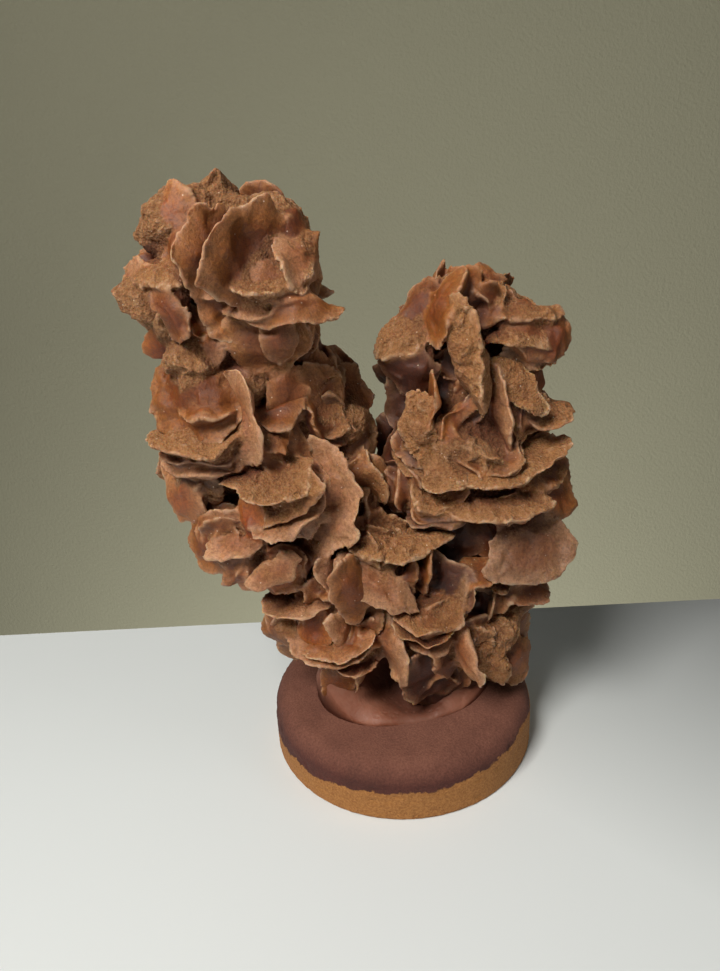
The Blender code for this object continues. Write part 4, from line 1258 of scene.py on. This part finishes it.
dress("cast_disc", *cast_disc(), cast_sand(), "base_disc", "cast_sand")

# %% [markdown]
# ## The mortar
# The rose was pushed into a wet puddle, which rose round it in lumps and was wiped smooth with
# a thumb. The surface is a height over a wandering outline, with a rounded lip.

# %% Mortar puddle
MORTAR_CENTRE = (-1.0, -1.0)
# outline of the puddle: direction in degrees (0 to +X, -90 to the front), radius in mm
MORTAR_OUTLINE = [(-180, 27), (-150, 27), (-120, 24), (-90, 21), (-60, 22), (-30, 26), (0, 30),
                  (30, 27), (60, 22), (90, 20), (120, 21), (150, 25), (180, 27)]
# lumps and a hollow: middle x y, how far they spread, rise
MORTAR_LUMPS = [(-20.5, -9.0, 9.0, 14.0), (-8.0, 6.0, 13.0, 9.0), (14.0, 4.0, 15.0, 7.0)]
MORTAR_HOLLOW = (4.0, -10.0, 9.5, -3.2)     # sunk in front, where it shrank off the stone
MORTAR_LIP = 3.2
LIP_SUNK, FLOOR_SUNK = 0.2, 0.6             # how far rim and floor lie under the disc's top, mm
OUTLINE_BLUR, BLUR_REACH = 7.0, 15          # in steps round the outline
MORTAR_COLOURS = ((0.20, 0.062, 0.031), (0.29, 0.110, 0.066))
MORTAR_GRAIN = (0.26, 0.13, 0.08)
# painted shade colour for the mortar round the hollow
MORTAR_PAINTED_SHADE = (0.075, 0.022, 0.012)


def mortar_puddle(around=260, rings=110):
    """Height = the disc's top + lip times sqrt(1 - share^4) + bells for the lumps, each
    rise times exp(-(distance/spread)^3), roughened a little."""
    angle = np.linspace(-math.pi, math.pi, around, endpoint=False)
    way, reach = np.array(MORTAR_OUTLINE, float).T
    outline = np.interp(np.linspace(-180, 180, around + 1)[:-1], way, reach)
    bell = np.exp(-(np.arange(-BLUR_REACH, BLUR_REACH + 1) / OUTLINE_BLUR) ** 2)
    outline = np.concatenate([outline[-BLUR_REACH:], outline, outline[:BLUR_REACH]])
    outline = np.convolve(outline, bell / bell.sum(), "valid")
    share = np.sin(np.linspace(math.pi / 2, 0, rings))[:, None]
    x = MORTAR_CENTRE[0] + outline * share * np.cos(angle)
    y = MORTAR_CENTRE[1] + outline * share * np.sin(angle)
    z = (DISC_HEIGHT - LIP_SUNK + (MORTAR_LIP + 0.3) * np.sqrt(np.clip(1 - share ** 4, 0, 1))
         + 0 * x)
    for lump_x, lump_y, spread, rise in MORTAR_LUMPS + [MORTAR_HOLLOW]:
        z += rise * np.exp(-(((x - lump_x) ** 2 + (y - lump_y) ** 2) / spread ** 2) ** 1.5)
    floor, middle = (np.stack([x[i], y[i], np.full(around, DISC_HEIGHT - FLOOR_SUNK)], -1)
                     for i in (0, -1))
    grid = np.concatenate([middle[None], floor[None], np.stack([x, y, z], -1)])
    flat = grid.reshape(-1, 3)
    wiped = 0.5 * soft_noise(flat, 6.0, 61) + 0.22 * soft_noise(flat, 2.5, 62)
    pores = smoothstep(0.5, 0.85, soft_noise(flat, 1.3, 63))
    flat[2 * around:, 2] += (wiped - 0.3 * pores)[2 * around:]
    return flat, ring_faces(rings + 2, around)


def mortar():
    """Pinkish brown, smooth where it was wiped, paler with sand, and painted shade of dark
    red-brown round the hollow, where the rose shades the mortar."""
    finish, tree, shader = new_finish("wiped_mortar")
    clouds = object_noise(tree, 110, 4.0)
    grain = object_noise(tree, 1200, 2.0, 0.7)
    colour = mixed(tree, ranged(tree, clouds, 0.35, 0.65), *MORTAR_COLOURS)
    colour = mixed(tree, ranged(tree, grain, 0.45, 0.75, 0, 0.5), colour, MORTAR_GRAIN)
    # painted shade: darker within 7 to 15 mm of the hollow
    away = [calc(tree, "SUBTRACT", part, middle * MM)
            for part, middle in zip(object_axes(tree), MORTAR_HOLLOW[:2])]
    far = calc(tree, "ADD", *[times(tree, part, part) for part in away])
    hollow_shade = ranged(tree, far, (7 * MM) ** 2, (15 * MM) ** 2, 0.8, 0.0)
    colour = mixed(tree, hollow_shade, colour, MORTAR_PAINTED_SHADE)
    tree.links.new(colour, shader.inputs["Base Color"])
    tree.links.new(ranged(tree, grain, 0.3, 0.7, 0.5, 0.75), shader.inputs["Roughness"])
    shader.inputs["Subsurface Weight"].default_value = 0.1
    shader.inputs["Subsurface Radius"].default_value = (1.0, 0.4, 0.25)
    shader.inputs["Subsurface Scale"].default_value = 1.5 * MM
    bumped(tree, shader, grain, 0.25, 0.5)
    return finish


dress("mortar_puddle", *mortar_puddle(), mortar(), "mortar_bed", "mortar")

# %% [markdown]
# ## Table, wall and light
# The rose stands on a white table with a grey-green wall behind; both carry a painted
# gradient of light and shade. The table ends behind the disc, so the wall shows down to that
# line, and from the back nothing is in the way. One soft lamp is high on the left in front; a
# dim room fills the shadows.

# %% Stage
TABLE_EDGE = 0.0665
WALL_AT = 0.75


def plain_finish(name, colour, roughness, axes, span, last, relief):
    """A plain wall or table colour with the faintest clouding and a fine relief in mm. Along X
    plus a second, signed axis the colour goes from itself to last of itself over the span: a
    painted gradient of light and shade."""
    finish, tree, shader = new_finish(name)
    place = object_axes(tree)
    along = calc(tree, "ADD", place["X"], times(tree, place[axes[0]], axes[1]))
    clouds = object_noise(tree, 5, 3.0)
    darker, dim = (tuple(share * part for part in colour) for share in (0.94, last))
    tone = mixed(tree, clouds, darker, colour)
    tree.links.new(mixed(tree, ranged(tree, along, *span), tone, dim),
                   shader.inputs["Base Color"])
    bumped(tree, shader, object_noise(tree, 240, 4.0, 0.6), relief, 1.0)
    shader.inputs["Roughness"].default_value = roughness
    return finish


def slab(name, low, high, finish):
    """A box between two corners, for the stage."""
    x, y, z = zip(low, high)
    points = np.array([(a, b, c) for c in z for b in y for a in x])
    faces = np.array([(0, 2, 3, 1), (4, 5, 7, 6), (0, 1, 5, 4), (2, 6, 7, 3), (0, 4, 6, 2),
                      (1, 3, 7, 5)])
    mesh = mesh_from(name, points, faces)
    mesh.polygons.foreach_set("use_smooth", np.zeros(6, bool))
    mesh.materials.append(finish)
    link(name, mesh)


# painted shade: the table darkens to 0.30 of its colour towards the right and the back
slab("table", (-3, -3, -0.03), (3, TABLE_EDGE, 0),
     plain_finish("white_table", (0.76, 0.81, 0.83), 0.6, ("Y", 1), (0.0, 0.22), 0.30, 0.02))
# painted light: the wall brightens to 1.35 of its colour towards the right and the bottom
slab("wall", (-4, WALL_AT, -2), (4, WALL_AT + 0.05, 3),
     plain_finish("wall", (0.385, 0.375, 0.27), 0.9, ("Z", -1), (-0.45, 0.5), 1.35, 1.2))


def lamp(name, place, target, size, power, colour):
    """A square soft lamp at a place, turned to a target; size in metres, power in watts."""
    light = bpy.data.lights.new(name, "AREA")
    light.size, light.energy, light.color = size, power, colour
    thing = bpy.data.objects.new(name, light)
    bpy.context.scene.collection.objects.link(thing)
    thing.location = place
    thing.rotation_euler = (Vector(target) - Vector(place)).to_track_quat("-Z", "Y").to_euler()


MIDDLE = (-0.005, -0.005, 0.09)
lamp("key_lamp", (-0.28, -0.40, 0.62), MIDDLE, 0.25, 6.1, (1.0, 0.95, 0.88))
lamp("side_lamp", (0.50, -0.22, 0.52), MIDDLE, 0.30, 0.4, (1.0, 0.97, 0.92))
lamp("ceiling", (-0.3, -0.1, 1.2), MIDDLE, 0.9, 0.7, (0.93, 0.97, 1.0))
lamp("wall_wash", (0.0, 0.2, -0.9), (0.0, WALL_AT, -0.1), 0.8, 5.0, (1.0, 1.0, 0.95))
world = bpy.data.worlds.new("room")
bpy.context.scene.world = world
world.use_nodes = True
background = world.node_tree.nodes["Background"]
background.inputs["Color"].default_value = (0.62, 0.62, 0.58, 1)
background.inputs["Strength"].default_value = 0.030

# %% [markdown]
# ## Camera
# A phone held a little above the top of the rose and tipped down by 23 degrees, with the
# picture turned by 3 degrees.

# %% Camera
CAMERA_AT = (-0.0104, -0.2097, 0.1786)
TIPPED, ROLLED = math.radians(23.2), math.radians(-2.92)

eye = bpy.data.cameras.new("camera")
eye.sensor_width = 36.0
eye.lens = 28.55
eye.clip_start = 0.01
camera = bpy.data.objects.new("camera", eye)
bpy.context.scene.collection.objects.link(camera)
camera.matrix_world = (Matrix.Translation(CAMERA_AT)
                       @ Matrix.Rotation(math.pi / 2 - TIPPED, 4, "X")
                       @ Matrix.Rotation(ROLLED, 4, "Z"))
bpy.context.scene.camera = camera
bpy.context.scene.view_settings.view_transform = "Standard"
